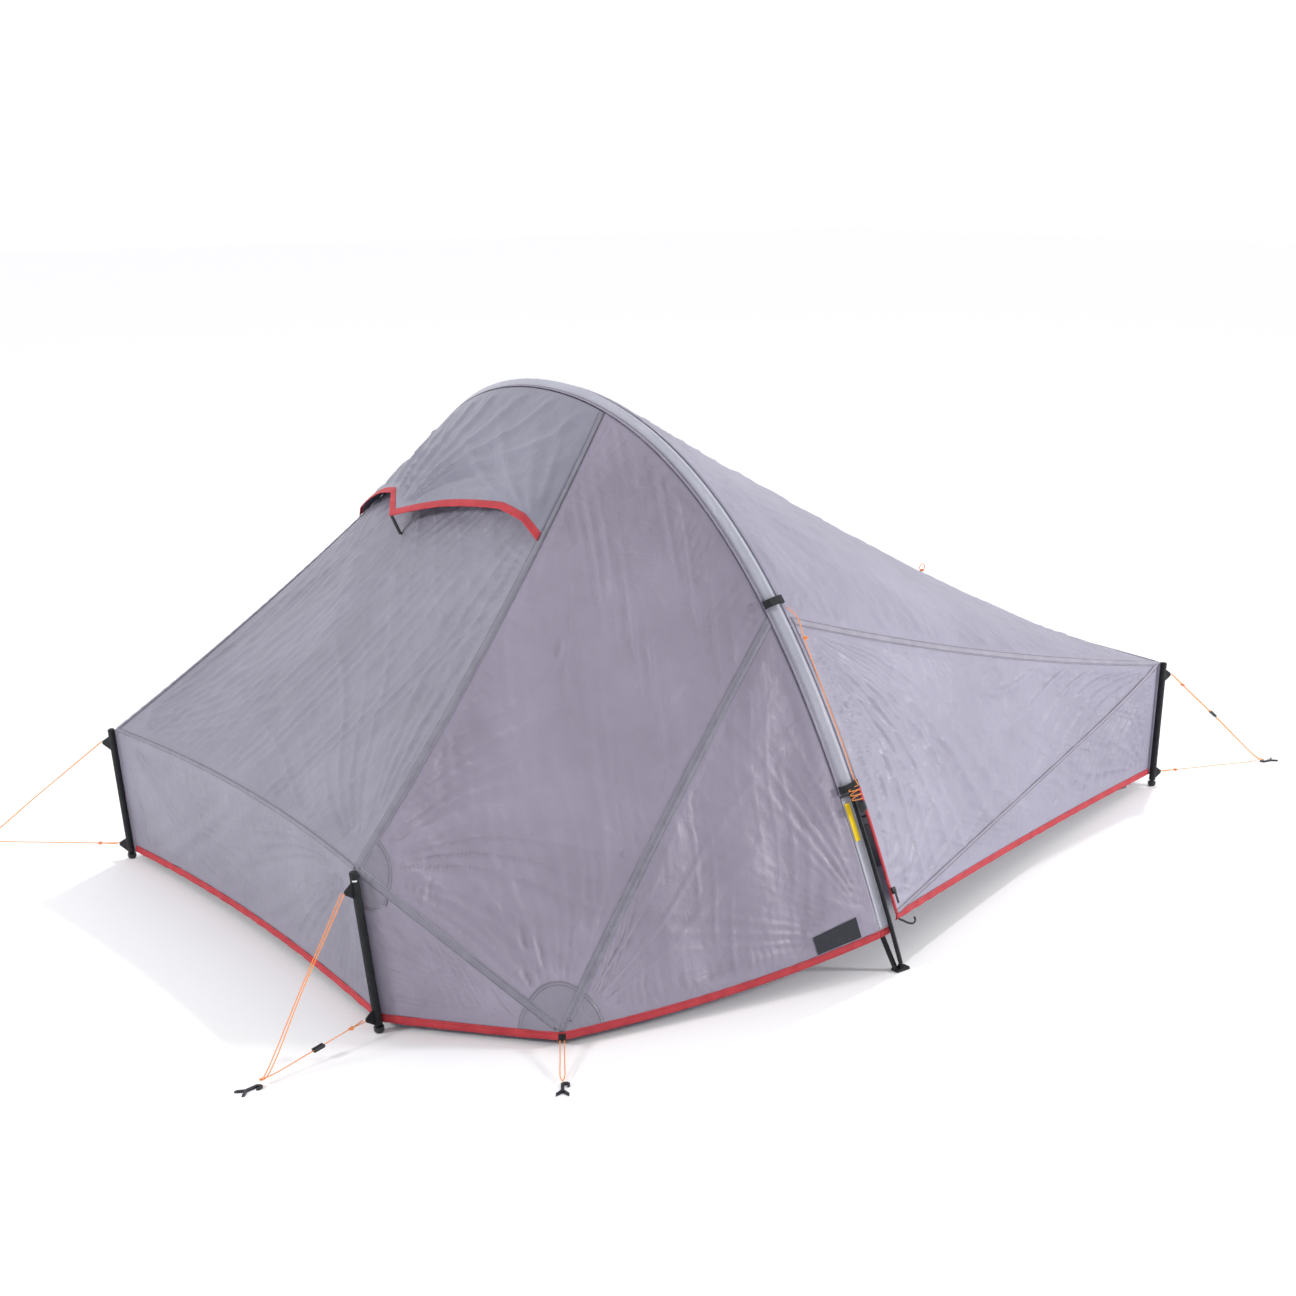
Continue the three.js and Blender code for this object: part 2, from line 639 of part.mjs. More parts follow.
function poleRing(place, radius, sides) {
  const last = STATIONS.length - 1;
  const ahead = poleCentre(Math.min(place + 0.5, last));
  const tangent = ahead.sub(poleCentre(Math.max(place - 0.5, 0))).normalize();
  const inward = tangent.cross(HOOP_NORMAL);
  const centre = poleCentre(place);
  const ring = [];
  for (let k = 0; k < sides; k += 1) {
    const angle = (2 * Math.PI * k) / sides;
    const spoke = HOOP_NORMAL.clone().multiplyScalar(Math.cos(angle)).addScaledVector(inward, Math.sin(angle));
    ring.push(centre.clone().addScaledVector(spoke, radius));
  }
  return ring;
}

function addPole() {
  const sides = 8;
  for (let k = 0; k < POLE_SECTIONS; k += 1) {
    const first = k * SECTION_STEPS;
    const last = first + SECTION_STEPS;
    const stepLength = poleCentre(last - 1).distanceTo(poleCentre(last));
    const start = k === 0 ? first : first + 0.4 / stepLength;
    const places = [start];
    for (let j = first + 1; j <= last; j += 1) places.push(j);
    const rings = places.map((place) => poleRing(place, POLE_RADIUS, sides));
    if (k < POLE_SECTIONS - 1) {
      // The ferrule, a thinner stub that plugs into the next section.
      const tip = last + STUB_LENGTH / stepLength;
      const root = last - 15 / stepLength;
      rings.push(poleRing(last, STUB_RADIUS, sides), poleRing(tip, STUB_RADIUS, sides));
      rings.push(poleRing(tip, STUB_BORE, sides), poleRing(root, STUB_BORE, sides));
      rings.push(poleRing(root, POLE_BORE, sides));
      places.pop();
    }
    const bore = places.reverse().map((place) => poleRing(place, POLE_BORE, sides));
    add(`pole_section_${k + 1}`, ringLoft([...rings, ...bore]), POLE_METAL);
  }
  const core = [];
  for (let k = 0; k < STATIONS.length; k += 1) core.push(poleCentre(k === 0 ? 0.05 : k));
  const section = new THREE.Shape();
  section.absarc(0, 0, SHOCK_CORD_RADIUS, 0, Math.PI * 2);
  const path = new THREE.CurvePath();
  for (let k = 1; k < core.length; k += 1) path.add(new THREE.LineCurve3(core[k - 1], core[k]));
  const steps = core.length - 1;
  add('shock_cord', new THREE.ExtrudeGeometry(section, { steps, curveSegments: 3, extrudePath: path }), ELASTIC);
}

// Foot plate that carries the pole's end, with the webbing that ties it to the hem.
function addPoleFeet() {
  for (const [side, word] of [[NEAR, 'near'], [FAR, 'far']]) {
    const end = hoopEdge(side * POLE_FOOT_U, 0, SLEEVE_THICK / 2);
    const plate = box(34, 18, 5, point(end.x, end.y, 2.5));
    const block = box(9, 9, 7, point(end.x, end.y, 7));
    const low = point(end.x - 12, end.y - side * 2, 3);
    const high = dropped(hoopEdge(side * U_HEM, -12, PANEL_DEPTH + 5)).addScaledVector(UP, -1);
    const run = high.clone().sub(low);
    const strap = new THREE.BoxGeometry(12, 2, run.length()).translate(0, 0, run.length() / 2);
    add(`pole_foot_${word}`, joined([plate, block, placed(strap, low, run)]), BLACK_WEBBING);
  }
}

// ---------------------------------------------------------------- corner posts
const POSTS = [
  { name: 'left_near', end: LEFT_END, side: NEAR, peg: point(-1258, -624, 0) },
  { name: 'left_far', end: LEFT_END, side: FAR, peg: point(-1228, 895, 0) },
  { name: 'right_near', end: RIGHT_END, side: NEAR, peg: point(1740, -635, 0) },
  { name: 'right_far', end: RIGHT_END, side: FAR, peg: point(1740, 635, 0) },
];
const TAB_REACH = 30;
const TAB_HALF_HEIGHT = 17;
const TAB_ROOT = 1.2; // the tab is sewn this deep into its sleeve
const UPPER_TAB = 288;
const LOWER_TAB = 34;
const POST_SLEEVE_START = 16;

function pegDirection(post) {
  return post.peg.clone().sub(postAt(post.end, post.side, 0)).normalize();
}

function tabTip(post, height) {
  return postAt(post.end, post.side, height).addScaledVector(pegDirection(post), TAB_REACH);
}

// A triangle of webbing, standing on the post and pointing at the peg.
function webbingTab(post, height) {
  const outline = new THREE.Shape();
  outline.moveTo(POST_SLEEVE_RADIUS - TAB_ROOT, -TAB_HALF_HEIGHT);
  outline.lineTo(TAB_REACH - 3, -4);
  outline.lineTo(TAB_REACH - 3, 3);
  outline.lineTo(POST_SLEEVE_RADIUS - TAB_ROOT, TAB_HALF_HEIGHT);
  const tab = new THREE.ExtrudeGeometry(outline, { depth: 2.4, bevelEnabled: false });
  tab.translate(0, 0, -1.2);
  tab.rotateX(Math.PI / 2);
  const direction = pegDirection(post);
  tab.rotateZ(Math.atan2(direction.y, direction.x));
  const place = postAt(post.end, post.side, height);
  return tab.translate(place.x, place.y, place.z);
}

function turned(profile, segments) {
  const geometry = new THREE.LatheGeometry(profile.map(([r, z]) => new THREE.Vector2(r, z)), segments);
  return geometry.rotateX(Math.PI / 2);
}

function addPosts() {
  for (const post of POSTS) {
    const foot = postAt(post.end, post.side, 0);
    const axis = postAt(post.end, post.side, POST_HEIGHT).sub(foot).normalize();
    const shell = turned([
      [0, POST_HEIGHT - 4],
      [POST_BORE, POST_HEIGHT - 4],
      [POST_BORE, POST_SLEEVE_START],
      [POST_SLEEVE_RADIUS, POST_SLEEVE_START],
      [POST_SLEEVE_RADIUS, POST_HEIGHT - 2],
      [POST_SLEEVE_RADIUS - 2, POST_HEIGHT],
      [0, POST_HEIGHT],
    ], 12);
    const pieces = [placed(shell, foot, axis), webbingTab(post, UPPER_TAB), webbingTab(post, LOWER_TAB)];
    add(`post_sleeve_${post.name}`, joined(pieces), BLACK_WEBBING);
    const lift = 1.2; // the tilted foot's low edge rests on the ground
    const rod = turned([
      [0, lift],
      [8, lift],
      [10, lift + 3],
      [10, POST_SLEEVE_START - 4],
      [ROD_RADIUS, POST_SLEEVE_START - 2],
      [ROD_RADIUS, POST_HEIGHT - 6],
      [0, POST_HEIGHT - 6],
    ], 10);
    add(`post_rod_${post.name}`, placed(rod, foot, axis), DARK_PLASTIC);
  }
}

// ---------------------------------------------------------------- pegs and guylines
const PEG_THICK = 4;
const PEG_OUT_PEG = point(-826, -960, 0);

// The head of a peg: a hook for the cord and a forked end, lying along the cord's pull.
function pegHead(place, direction) {
  const outline = [
    [-20, -3], [4, -3], [16, -12], [22, -11], [9, 0], [22, 11], [16, 12], [4, 3],
    [-17, 3], [-20, 5], [-18, 8], [-10, 9], [-12, 13], [-20, 13], [-25, 9], [-25, 2],
  ];
  const fork = new THREE.Shape(outline.map(([x, y]) => new THREE.Vector2(x, y)));
  const head = new THREE.ExtrudeGeometry(fork, { depth: PEG_THICK, bevelEnabled: false });
  head.rotateZ(Math.atan2(direction.y, direction.x));
  return head.translate(place.x, place.y, 0);
}

function addPegs() {
  for (const post of POSTS) add(`peg_${post.name}`, pegHead(post.peg, pegDirection(post)), DARK_PLASTIC);
  const pull = PEG_OUT_PEG.clone().sub(PEG_OUT).setZ(0).normalize();
  add('peg_side', pegHead(PEG_OUT_PEG, pull), DARK_PLASTIC);
}

// One line per corner: from the upper tab down to the peg, round its hook and back to the
// lower tab.
function guylinePoints(post) {
  const pull = pegDirection(post);
  const across = point(-pull.y, pull.x, 0);
  const hook = post.peg.clone().addScaledVector(pull, -30).setZ(7);
  const upper = tabTip(post, UPPER_TAB).addScaledVector(pull, 0.6);
  const lower = tabTip(post, LOWER_TAB).addScaledVector(pull, 0.6);
  return [
    upper,
    upper.clone().lerp(hook, 0.5),
    hook.clone().addScaledVector(across, 5).addScaledVector(pull, -22).setZ(24),
    hook.clone().addScaledVector(across, 7).setZ(9),
    hook.clone().addScaledVector(pull, 9),
    hook.clone().addScaledVector(across, -7),
    hook.clone().addScaledVector(across, -5).addScaledVector(pull, -22).setZ(8),
    lower.clone().lerp(hook, 0.5),
    lower,
  ];
}

function addGuylines() {
  for (const post of POSTS) add(`guyline_${post.name}`, cord(guylinePoints(post), 60), ORANGE_CORD);
  const pull = PEG_OUT_PEG.clone().sub(PEG_OUT).setZ(0).normalize();
  const start = PEG_OUT.clone().addScaledVector(pull, 4).setZ(26);
  const end = PEG_OUT_PEG.clone().addScaledVector(pull, -29).setZ(6);
  const middle = start.clone().lerp(end, 0.5).setZ(13);
  add('guyline_side', cord([start, middle, end], 16), ORANGE_CORD);
  // The hoop's own guyline, stowed along the outside of the sleeve.
  const stow = (y, sideways, depth) => hoopEdge(hoopAtY(y), sideways, depth);
  add('guyline_hoop', cord([
    stow(-701, 16, -4),
    stow(-716, 27, -6),
    stow(-735, 22, -5),
    stow(-790, 14, -4),
    stow(-840, 12, -4),
    stow(-860, 10, -5),
  ], 36), ORANGE_CORD);
  // A loop of cord sewn to the middle of the foot-end roof.
  const base = roofRight(ROOF_LOOP_U, ROOF_LOOP_V);
  const loop = [[-4, 3], [-9, 14], [0, ROOF_LOOP_HEIGHT], [9, 14], [4, 3]];
  const loopPoints = loop.map(([along, up]) => base.clone().add(point(along, 0, up)));
  add('roof_loop', cord(loopPoints, 20), ORANGE_CORD);
}

// A slotted slider that grips a cord.
function addTensioner(name, from, to, share) {
  const run = to.clone().sub(from);
  const solid = solidFrom(new THREE.BoxGeometry(9, 6, 24));
  const slot = solidFrom(new THREE.BoxGeometry(2.8, 10, 30).translate(0, -3.6, 0));
  const sideways = run.clone().cross(UP);
  const place = from.clone().addScaledVector(run, share);
  add(name, placed(geometryOf(solid.subtract(slot)), place, run, sideways), BLACK_WEBBING);
}

function addTensioners() {
  const [leftNear, , rightNear] = POSTS;
  const lowerRun = guylinePoints(leftNear);
  addTensioner('tensioner_left_near', lowerRun[8], lowerRun[7], 0.92);
  const upperRun = guylinePoints(rightNear);
  addTensioner('tensioner_right_near', upperRun[0], upperRun[1], 0.9);
}

// ---------------------------------------------------------------- small hardware
function addHardware() {
  // Barrel cord lock that holds the stowed guyline at the sleeve's end.
  const barrel = turned([[0, -10], [6.5, -10], [8.5, -7], [8.5, 7], [6.5, 10], [0, 10]], 12);
  const place = hoopEdge(-U_SLEEVE_END - 0.02, 4, -10);
  const along = hoopEdge(-U_SLEEVE_END, 4, -10).sub(place);
  add('cord_lock', placed(barrel, place, along), DARK_PLASTIC);
  // Zip slider at the bottom of the door's front edge.
  const body = box(9, 5, 13, point(0, 0, 0));
  const pull = box(4, 2, 26, point(0, -3, -14));
  const low = hoopEdge(-U_HEM_DOOR + 0.03, PANEL_SIDEWAYS + 6, PANEL_DEPTH - 9);
  const high = hoopEdge(-U_SLEEVE_END, PANEL_SIDEWAYS + 6, PANEL_DEPTH - 9);
  const outward = joined([body, pull]);
  add('door_slider', placed(outward, low, high.sub(low)), DARK_PLASTIC);
  const label = { nu: 3, nv: 1, u: [0.006, 0.075], v: [0.065, 0.215], gap: 0, thick: 1, lift: 1.6 };
  add('label_patch', cloth(sideHoop, label), DARK_PLASTIC);
}

// ---------------------------------------------------------------- inner tent
const INNER = {
  sill: TUB.height + 1, // the canopy starts just above the tub's rim
  shoulder: point((HOOP_LEAN * 830) / HOOP_HEIGHT, 380, 830),
  crown: point((HOOP_LEAN * 990) / HOOP_HEIGHT, 0, 990),
  leftTop: point(-915, 512, 265),
  rightTop: point(1268, 500, 235),
};
const DOOR_WAY = { from: 0.04, to: 0.5, sill: 0.03, head: 0.9 };

const onSide = (p, side) => point(p.x, side * p.y, p.z);

// The near wall between the hoop and the right end; u runs to the right and v upwards.
function innerWall(u, v) {
  const low = point(lerp(0, TUB.right - 1, u), -TUB.halfWidth + 1, INNER.sill);
  const high = onSide(INNER.shoulder, NEAR).lerp(onSide(INNER.rightTop, NEAR), u);
  return low.lerp(high, v);
}

// A closed shell from faces that share points, thickened inwards.
function shell(points, faces, thick) {
  const normals = points.map(() => point(0, 0, 0));
  const triangles = [];
  for (const face of faces) {
    for (let k = 2; k < face.length; k += 1) triangles.push([face[0], face[k - 1], face[k]]);
  }
  for (const [a, b, c] of triangles) {
    const normal = points[b].clone().sub(points[a]).cross(points[c].clone().sub(points[a]));
    for (const k of [a, b, c]) normals[k].add(normal);
  }
  const inner = points.map((p, k) => p.clone().addScaledVector(normals[k].normalize(), -thick));
  const count = points.length;
  const solid = [];
  const edges = new Set(triangles.flatMap(([a, b, c]) => [`${a},${b}`, `${b},${c}`, `${c},${a}`]));
  for (const [a, b, c] of triangles) {
    solid.push([a, b, c], [a + count, c + count, b + count]);
    for (const [p, q] of [[a, b], [b, c], [c, a]]) {
      if (!edges.has(`${q},${p}`)) solid.push([p, p + count, q + count], [p, q + count, q]);
    }
  }
  return geometryFrom([...points, ...inner], solid);
}

function addInnerTent() {
  const centreX = (TUB.left + TUB.right) / 2;
  const length = TUB.right - TUB.left;
  const outside = box(length, 2 * TUB.halfWidth, TUB.height, point(centreX, 0, TUB.height / 2));
  const roomHigh = TUB.height + 10;
  const room = box(
    length - 2 * TUB.wall,
    2 * (TUB.halfWidth - TUB.wall),
    roomHigh,
    point(centreX, 0, TUB.wall + roomHigh / 2),
  );
  add('tub_floor', geometryOf(solidFrom(outside).subtract(solidFrom(room))), TUB_CLOTH);

  const points = [];
  const at = (p) => points.push(p) - 1;
  // The near right wall is a frame of eight cells around the doorway.
  const across = [0, DOOR_WAY.from, DOOR_WAY.to, 1];
  const upwards = [0, DOOR_WAY.sill, DOOR_WAY.head, 1];
  const cell = upwards.map((v) => across.map((u) => at(innerWall(u, v))));
  const near = {
    hoopSill: cell[0][0],
    shoulder: cell[3][0],
    rightSill: cell[0][3],
    rightTop: cell[3][3],
    leftSill: at(point(TUB.left + 1, -TUB.halfWidth + 1, INNER.sill)),
    leftTop: at(onSide(INNER.leftTop, NEAR)),
  };
  const far = {
    hoopSill: at(point(0, TUB.halfWidth - 1, INNER.sill)),
    shoulder: at(onSide(INNER.shoulder, FAR)),
    rightSill: at(point(TUB.right - 1, TUB.halfWidth - 1, INNER.sill)),
    rightTop: at(onSide(INNER.rightTop, FAR)),
    leftSill: at(point(TUB.left + 1, TUB.halfWidth - 1, INNER.sill)),
    leftTop: at(onSide(INNER.leftTop, FAR)),
  };
  const crown = at(INNER.crown.clone());
  const faces = [];
  for (let j = 0; j < 3; j += 1) {
    for (let i = 0; i < 3; i += 1) {
      const doorway = i === 1 && j === 1;
      if (!doorway) faces.push([cell[j][i], cell[j][i + 1], cell[j + 1][i + 1], cell[j + 1][i]]);
    }
  }
  const leftOfDoorway = [cell[3][0], cell[2][0], cell[1][0], cell[0][0]];
  faces.push([near.leftTop, near.leftSill, near.hoopSill, leftOfDoorway[2]]);
  faces.push([near.leftTop, leftOfDoorway[2], leftOfDoorway[1]]);
  faces.push([near.leftTop, leftOfDoorway[1], leftOfDoorway[0]]);
  faces.push([far.hoopSill, far.leftSill, far.leftTop, far.shoulder]);
  faces.push([far.rightSill, far.hoopSill, far.shoulder, far.rightTop]);
  faces.push([near.leftTop, near.shoulder, crown]);
  faces.push([near.leftTop, crown, far.leftTop]);
  faces.push([far.leftTop, crown, far.shoulder]);
  const headOfDoorway = cell[3];
  faces.push([headOfDoorway[0], headOfDoorway[1], crown]);
  faces.push([headOfDoorway[1], headOfDoorway[2], crown]);
  faces.push([headOfDoorway[2], headOfDoorway[3], crown]);
  faces.push([near.rightTop, far.rightTop, crown]);
  faces.push([far.rightTop, far.shoulder, crown]);
  faces.push([far.leftSill, near.leftSill, near.leftTop, far.leftTop]);
  const rightEdge = cell.map((row) => row[3]);
  faces.push([rightEdge[0], far.rightSill, rightEdge[1]]);
  faces.push([rightEdge[1], far.rightSill, rightEdge[2]]);
  faces.push([rightEdge[2], far.rightSill, far.rightTop, rightEdge[3]]);
  add('inner_canopy', shell(points, faces, 1), INNER_MESH);

  const leaf = {
    nu: 3,
    nv: 3,
    u: [DOOR_WAY.from, DOOR_WAY.to],
    v: [DOOR_WAY.sill, DOOR_WAY.head],
    gap: 4,
    lift: -0.5,
  };
  add('inner_door', cloth(innerWall, leaf), INNER_MESH);
}

// ---------------------------------------------------------------- the whole tent
addFlysheet();
addDoor();
addHem();
addVentHood();
addSleeve();
addPole();
addPoleFeet();
addPosts();
addPegs();
addGuylines();
addTensioners();
addHardware();
addInnerTent();

export default tent;
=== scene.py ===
"""Looks of the pitched one-hoop tent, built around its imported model. Metres, Z up, ground at 0.

X runs along the tent and -Y is the door side. "near" is the door side and "left" the vent end.
"""

import math

import bpy
import numpy as np
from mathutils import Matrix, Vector, noise


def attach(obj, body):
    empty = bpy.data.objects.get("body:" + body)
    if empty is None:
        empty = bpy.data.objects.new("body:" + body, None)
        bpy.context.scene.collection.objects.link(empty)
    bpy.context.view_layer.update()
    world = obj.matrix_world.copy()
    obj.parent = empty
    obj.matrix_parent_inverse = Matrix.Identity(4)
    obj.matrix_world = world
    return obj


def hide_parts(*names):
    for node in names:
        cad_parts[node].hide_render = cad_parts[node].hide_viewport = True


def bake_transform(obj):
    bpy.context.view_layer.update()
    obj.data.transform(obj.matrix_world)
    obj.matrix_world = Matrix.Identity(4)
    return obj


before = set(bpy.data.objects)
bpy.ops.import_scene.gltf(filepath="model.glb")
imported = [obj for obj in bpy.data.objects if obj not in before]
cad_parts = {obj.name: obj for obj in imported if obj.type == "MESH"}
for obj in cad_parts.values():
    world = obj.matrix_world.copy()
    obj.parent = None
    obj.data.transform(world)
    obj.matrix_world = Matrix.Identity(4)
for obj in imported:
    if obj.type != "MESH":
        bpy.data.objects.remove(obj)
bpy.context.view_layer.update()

# ------------------------------------------------------------------ dimensions, as in the model
HOOP_HEIGHT = 1.1
HOOP_LEAN = -0.162
HOOP_BEZIER = ((0, 1.1), (0.638, 1.1), (0.852, 0.492), (0.978, 0))
LEFT_END = -0.963
RIGHT_END = 1.324
END_HALF_WIDTH = 0.567
POST_HEIGHT = 0.324
POST_LEAN_OUT = 0.034
POST_LEAN_IN = 0.014
POST_TO_CLOTH = 0.009
HEM_HEIGHT = 0.015
SLEEVE_WIDTH = 0.046
SLEEVE_THICK = 0.013
SLEEVE_END_Y = 0.869
PANEL_SIDEWAYS = SLEEVE_WIDTH / 2 + 0.0015
PANEL_DEPTH = SLEEVE_THICK + 0.001
DOOR_SIDEWAYS = PANEL_SIDEWAYS + 0.003
TAIL_EDGE = 0.006
HEM_LEFT = 0.016
HEM_RIGHT = 0.03
HEM_AT_HOOP = 0.075
HEM_AT_DOOR = 0.092
TOP_CORNER = 0.322
SEAM_LEFT_NEAR = -0.223
SEAM_LEFT_FAR = 0.55
SEAM_SIDE = -0.707
SEAM_RIGHT = 0.716
DOOR_TOP = -0.732
PEG_OUT = np.array([-0.732, -0.827, 0.015])
UP = np.array([0.0, 0.0, 1.0])
NEAR = -1
FAR = 1

CLOTH_THICK = 0.0006
SEAM_WIDTH = 0.018
CORD_DIAMETER = 0.002
CROSSING_BOW = 0.6  # how far the seam across the door side bows toward the hem and the post
PATCH_RADIUS = 0.075
PEG_PATCH_RADIUS = 0.085
LEFT_OUT = (-1, 0, 1)
RIGHT_OUT = (1, 0, 1.5)
NEAR_OUT = (-0.3, -1, 0.5)
LABEL_U = (0.006, 0.075)
LABEL_V = (0.065, 0.215)
VENT_BOTTOM = 0.2
SEAM_TOP = 0.0024
STITCH_ROW = 0.8  # of half the seam's width
THREAD_WIDTH = 0.0009
THREAD_RISE = 0.0005
HEM_SECTION = ((0.0, 0.0), (0.06, 0.0012), (0.5, 0.0016), (0.94, 0.0012), (1.02, 0.0))
EDGE_SECTION = ((-0.002, 0.0), (0.0, 0.0012), (0.0025, 0.0014), (0.005, 0.0))
LIP = (
    (0, 0.3, 0.005), (0.06, 0.285, 0.018), (0.14, 0.285, 0.028), (0.34, 0.32, 0.036),
    (0.53, 0.36, 0.042), (0.62, 0.29, 0.036), (0.72, 0.275, 0.03), (1, 0.245, 0.005),
)
HOOD_TOP = 0.002
HOOD_REST = 0.007
HOOD_SEWN = 0.0016  # how far the hood lies off the roof where it is sewn down
LIP_SECTION = ((0.945, 0.0), (0.952, 0.0012), (0.975, 0.0014), (0.998, 0.0012), (1.004, 0.0))
SLEEVE_BASE = 0.0128
SLEEVE_RIDGE = 0.0122
SLEEVE_RIDGE_WIDTH = 0.009
SLEEVE_STITCH = 0.0178
SLEEVE_BORDER = (0.0165, 0.0195, 0.0222, 0.0245)
MARK_HEIGHT = 0.306
POST_SLEEVE_RADIUS = 0.0082
CORNERS = ("left_near", "left_far", "right_near", "right_far")
TAB_REACH = 0.03
UPPER_TAB = 0.288
LOWER_TAB = 0.034
KNOT_SHARE = 0.13  # the knots stay clear of the tensioners' travel
UPPER_KNOT_SHARE = 0.12
STOW_TURNS = 3
STEPS_PER_TURN = 8
PEG_TAB_WIDTH = 0.014
PEG_TAB_LENGTH = 0.016
ROOF_LOOP_U = 0.35
ROOF_LOOP_V = 0.65
CAMERA_PLACE = (-2.521, -3.371, 1.569)
CAMERA_DIP = 14.7
CAMERA_TURN = 38.0
CAMERA_LENS = 51.76
BRIGHT_SIDE = (0.616, 0.788, 0.0)  # the studio's light wall, beyond the tent


# ------------------------------------------------------------------ curves and surfaces
def vec(x, y, z):
    return np.array([x, y, z], float)


def unit(v):
    v = np.asarray(v, float)
    return v / np.maximum(np.linalg.norm(v, axis=-1, keepdims=True), 1e-12)


def bowed(a, b, sag=(0, 0, 0)):
    """A curve from a to b, bowed by sag at its middle."""
    a, b, sag = np.array(a, float), np.array(b, float), np.array(sag, float)

    def curve(t):
        t = np.asarray(t, float)[..., None]
        return a + (b - a) * t + sag * 4 * t * (1 - t)

    return curve


def raised(curve, height):
    return lambda t: curve(t) + UP * height


def reversed_curve(curve):
    return lambda t: curve(1 - np.asarray(t, float))


def at_point(p):
    return lambda t: np.broadcast_to(p, np.shape(t) + (3,))


def filled(low, high, start, end, belly=(0, 0, 0)):
    """The surface that fills four edge curves; belly moves its middle."""
    def surface(u, v):
        u, v = np.broadcast_arrays(np.asarray(u, float), np.asarray(v, float))
        uu, vv = u[..., None], v[..., None]
        across = low(u) * (1 - vv) + high(u) * vv
        along = start(v) * (1 - uu) + end(v) * uu
        corners = low(0) * (1 - uu) * (1 - vv) + low(1) * uu * (1 - vv)
        corners = corners + high(0) * (1 - uu) * vv + high(1) * uu * vv
        fullness = 16 * uu * (1 - uu) * vv * (1 - vv)
        return across + along - corners + np.array(belly) * fullness

    return surface


HOOP_NORMAL = unit(vec(HOOP_HEIGHT, 0, -HOOP_LEAN))


def half_hoop(t):
    t = np.asarray(t, float)[..., None]
    a, b, c, d = (np.array(p, float) for p in HOOP_BEZIER)
    s = 1 - t
    return a * s**3 + 3 * b * s**2 * t + 3 * c * s * t**2 + d * t**3


def hoop_point(u):
    """The hoop's outer line: u is -1 at the near foot, 0 at the top and 1 at the far foot."""
    u = np.asarray(u, float)
    p = half_hoop(np.abs(u))
    y, z = np.sign(u) * p[..., 0], p[..., 1]
    return np.stack([HOOP_LEAN * z / HOOP_HEIGHT, y, z], axis=-1)


def hoop_edge(u, sideways, depth):
    """A point beside the hoop's line: sideways across the sleeve, depth into the tent."""
    u, step = np.asarray(u, float), 0.005
    ahead, behind = hoop_point(np.minimum(u + step, 1)), hoop_point(np.maximum(u - step, -1))
    inward = np.cross(unit(ahead - behind), HOOP_NORMAL)
    sideways = np.asarray(sideways, float)[..., None]
    depth = np.asarray(depth, float)[..., None]
    return hoop_point(u) + HOOP_NORMAL * sideways + inward * depth


HOOP_TABLE = np.linspace(0, 1, 2001)
HOOP_TABLE_POINTS = half_hoop(HOOP_TABLE)


def hoop_at_y(y):
    return math.copysign(float(np.interp(abs(y), HOOP_TABLE_POINTS[:, 0], HOOP_TABLE)), y)


def hoop_at_height(z):
    return float(np.interp(-z, -HOOP_TABLE_POINTS[:, 1], HOOP_TABLE))


def hoop_curve(u_from, u_to, sideways, depth=PANEL_DEPTH):
    return lambda t: hoop_edge(u_from + (u_to - u_from) * np.asarray(t, float), sideways, depth)


def post_at(end_x, side, height):
    share = height / POST_HEIGHT
    x = end_x + math.copysign(POST_LEAN_OUT * share, end_x)
    return vec(x, side * (END_HALF_WIDTH - POST_LEAN_IN * share), height)


def cloth_corner(end_x, side, height):
    corner = post_at(end_x, side, height)
    corner[0] -= math.copysign(POST_TO_CLOTH, end_x)
    corner[1] -= side * POST_TO_CLOTH
    return corner


U_HEM = hoop_at_height(HEM_AT_HOOP + HEM_HEIGHT)
U_HEM_DOOR = hoop_at_height(HEM_AT_DOOR + HEM_HEIGHT)
U_SLEEVE_END = hoop_at_y(SLEEVE_END_Y)
U_LEFT_NEAR = hoop_at_y(SEAM_LEFT_NEAR)
U_LEFT_FAR = hoop_at_y(SEAM_LEFT_FAR)
U_SIDE = hoop_at_y(SEAM_SIDE)
U_RIGHT = hoop_at_y(SEAM_RIGHT)

SIDES = {"near": NEAR, "far": FAR}
top_left = {word: cloth_corner(LEFT_END, side, TOP_CORNER) for word, side in SIDES.items()}
top_right = {word: cloth_corner(RIGHT_END, side, TOP_CORNER) for word, side in SIDES.items()}
foot_left = {word: cloth_corner(LEFT_END, side, HEM_LEFT) for word, side in SIDES.items()}
foot_right = {word: cloth_corner(RIGHT_END, side, HEM_RIGHT) for word, side in SIDES.items()}


def hoop_left(u):
    return hoop_edge(u, -PANEL_SIDEWAYS, PANEL_DEPTH)


def hoop_right(u):
    return hoop_edge(u, PANEL_SIDEWAYS, PANEL_DEPTH)


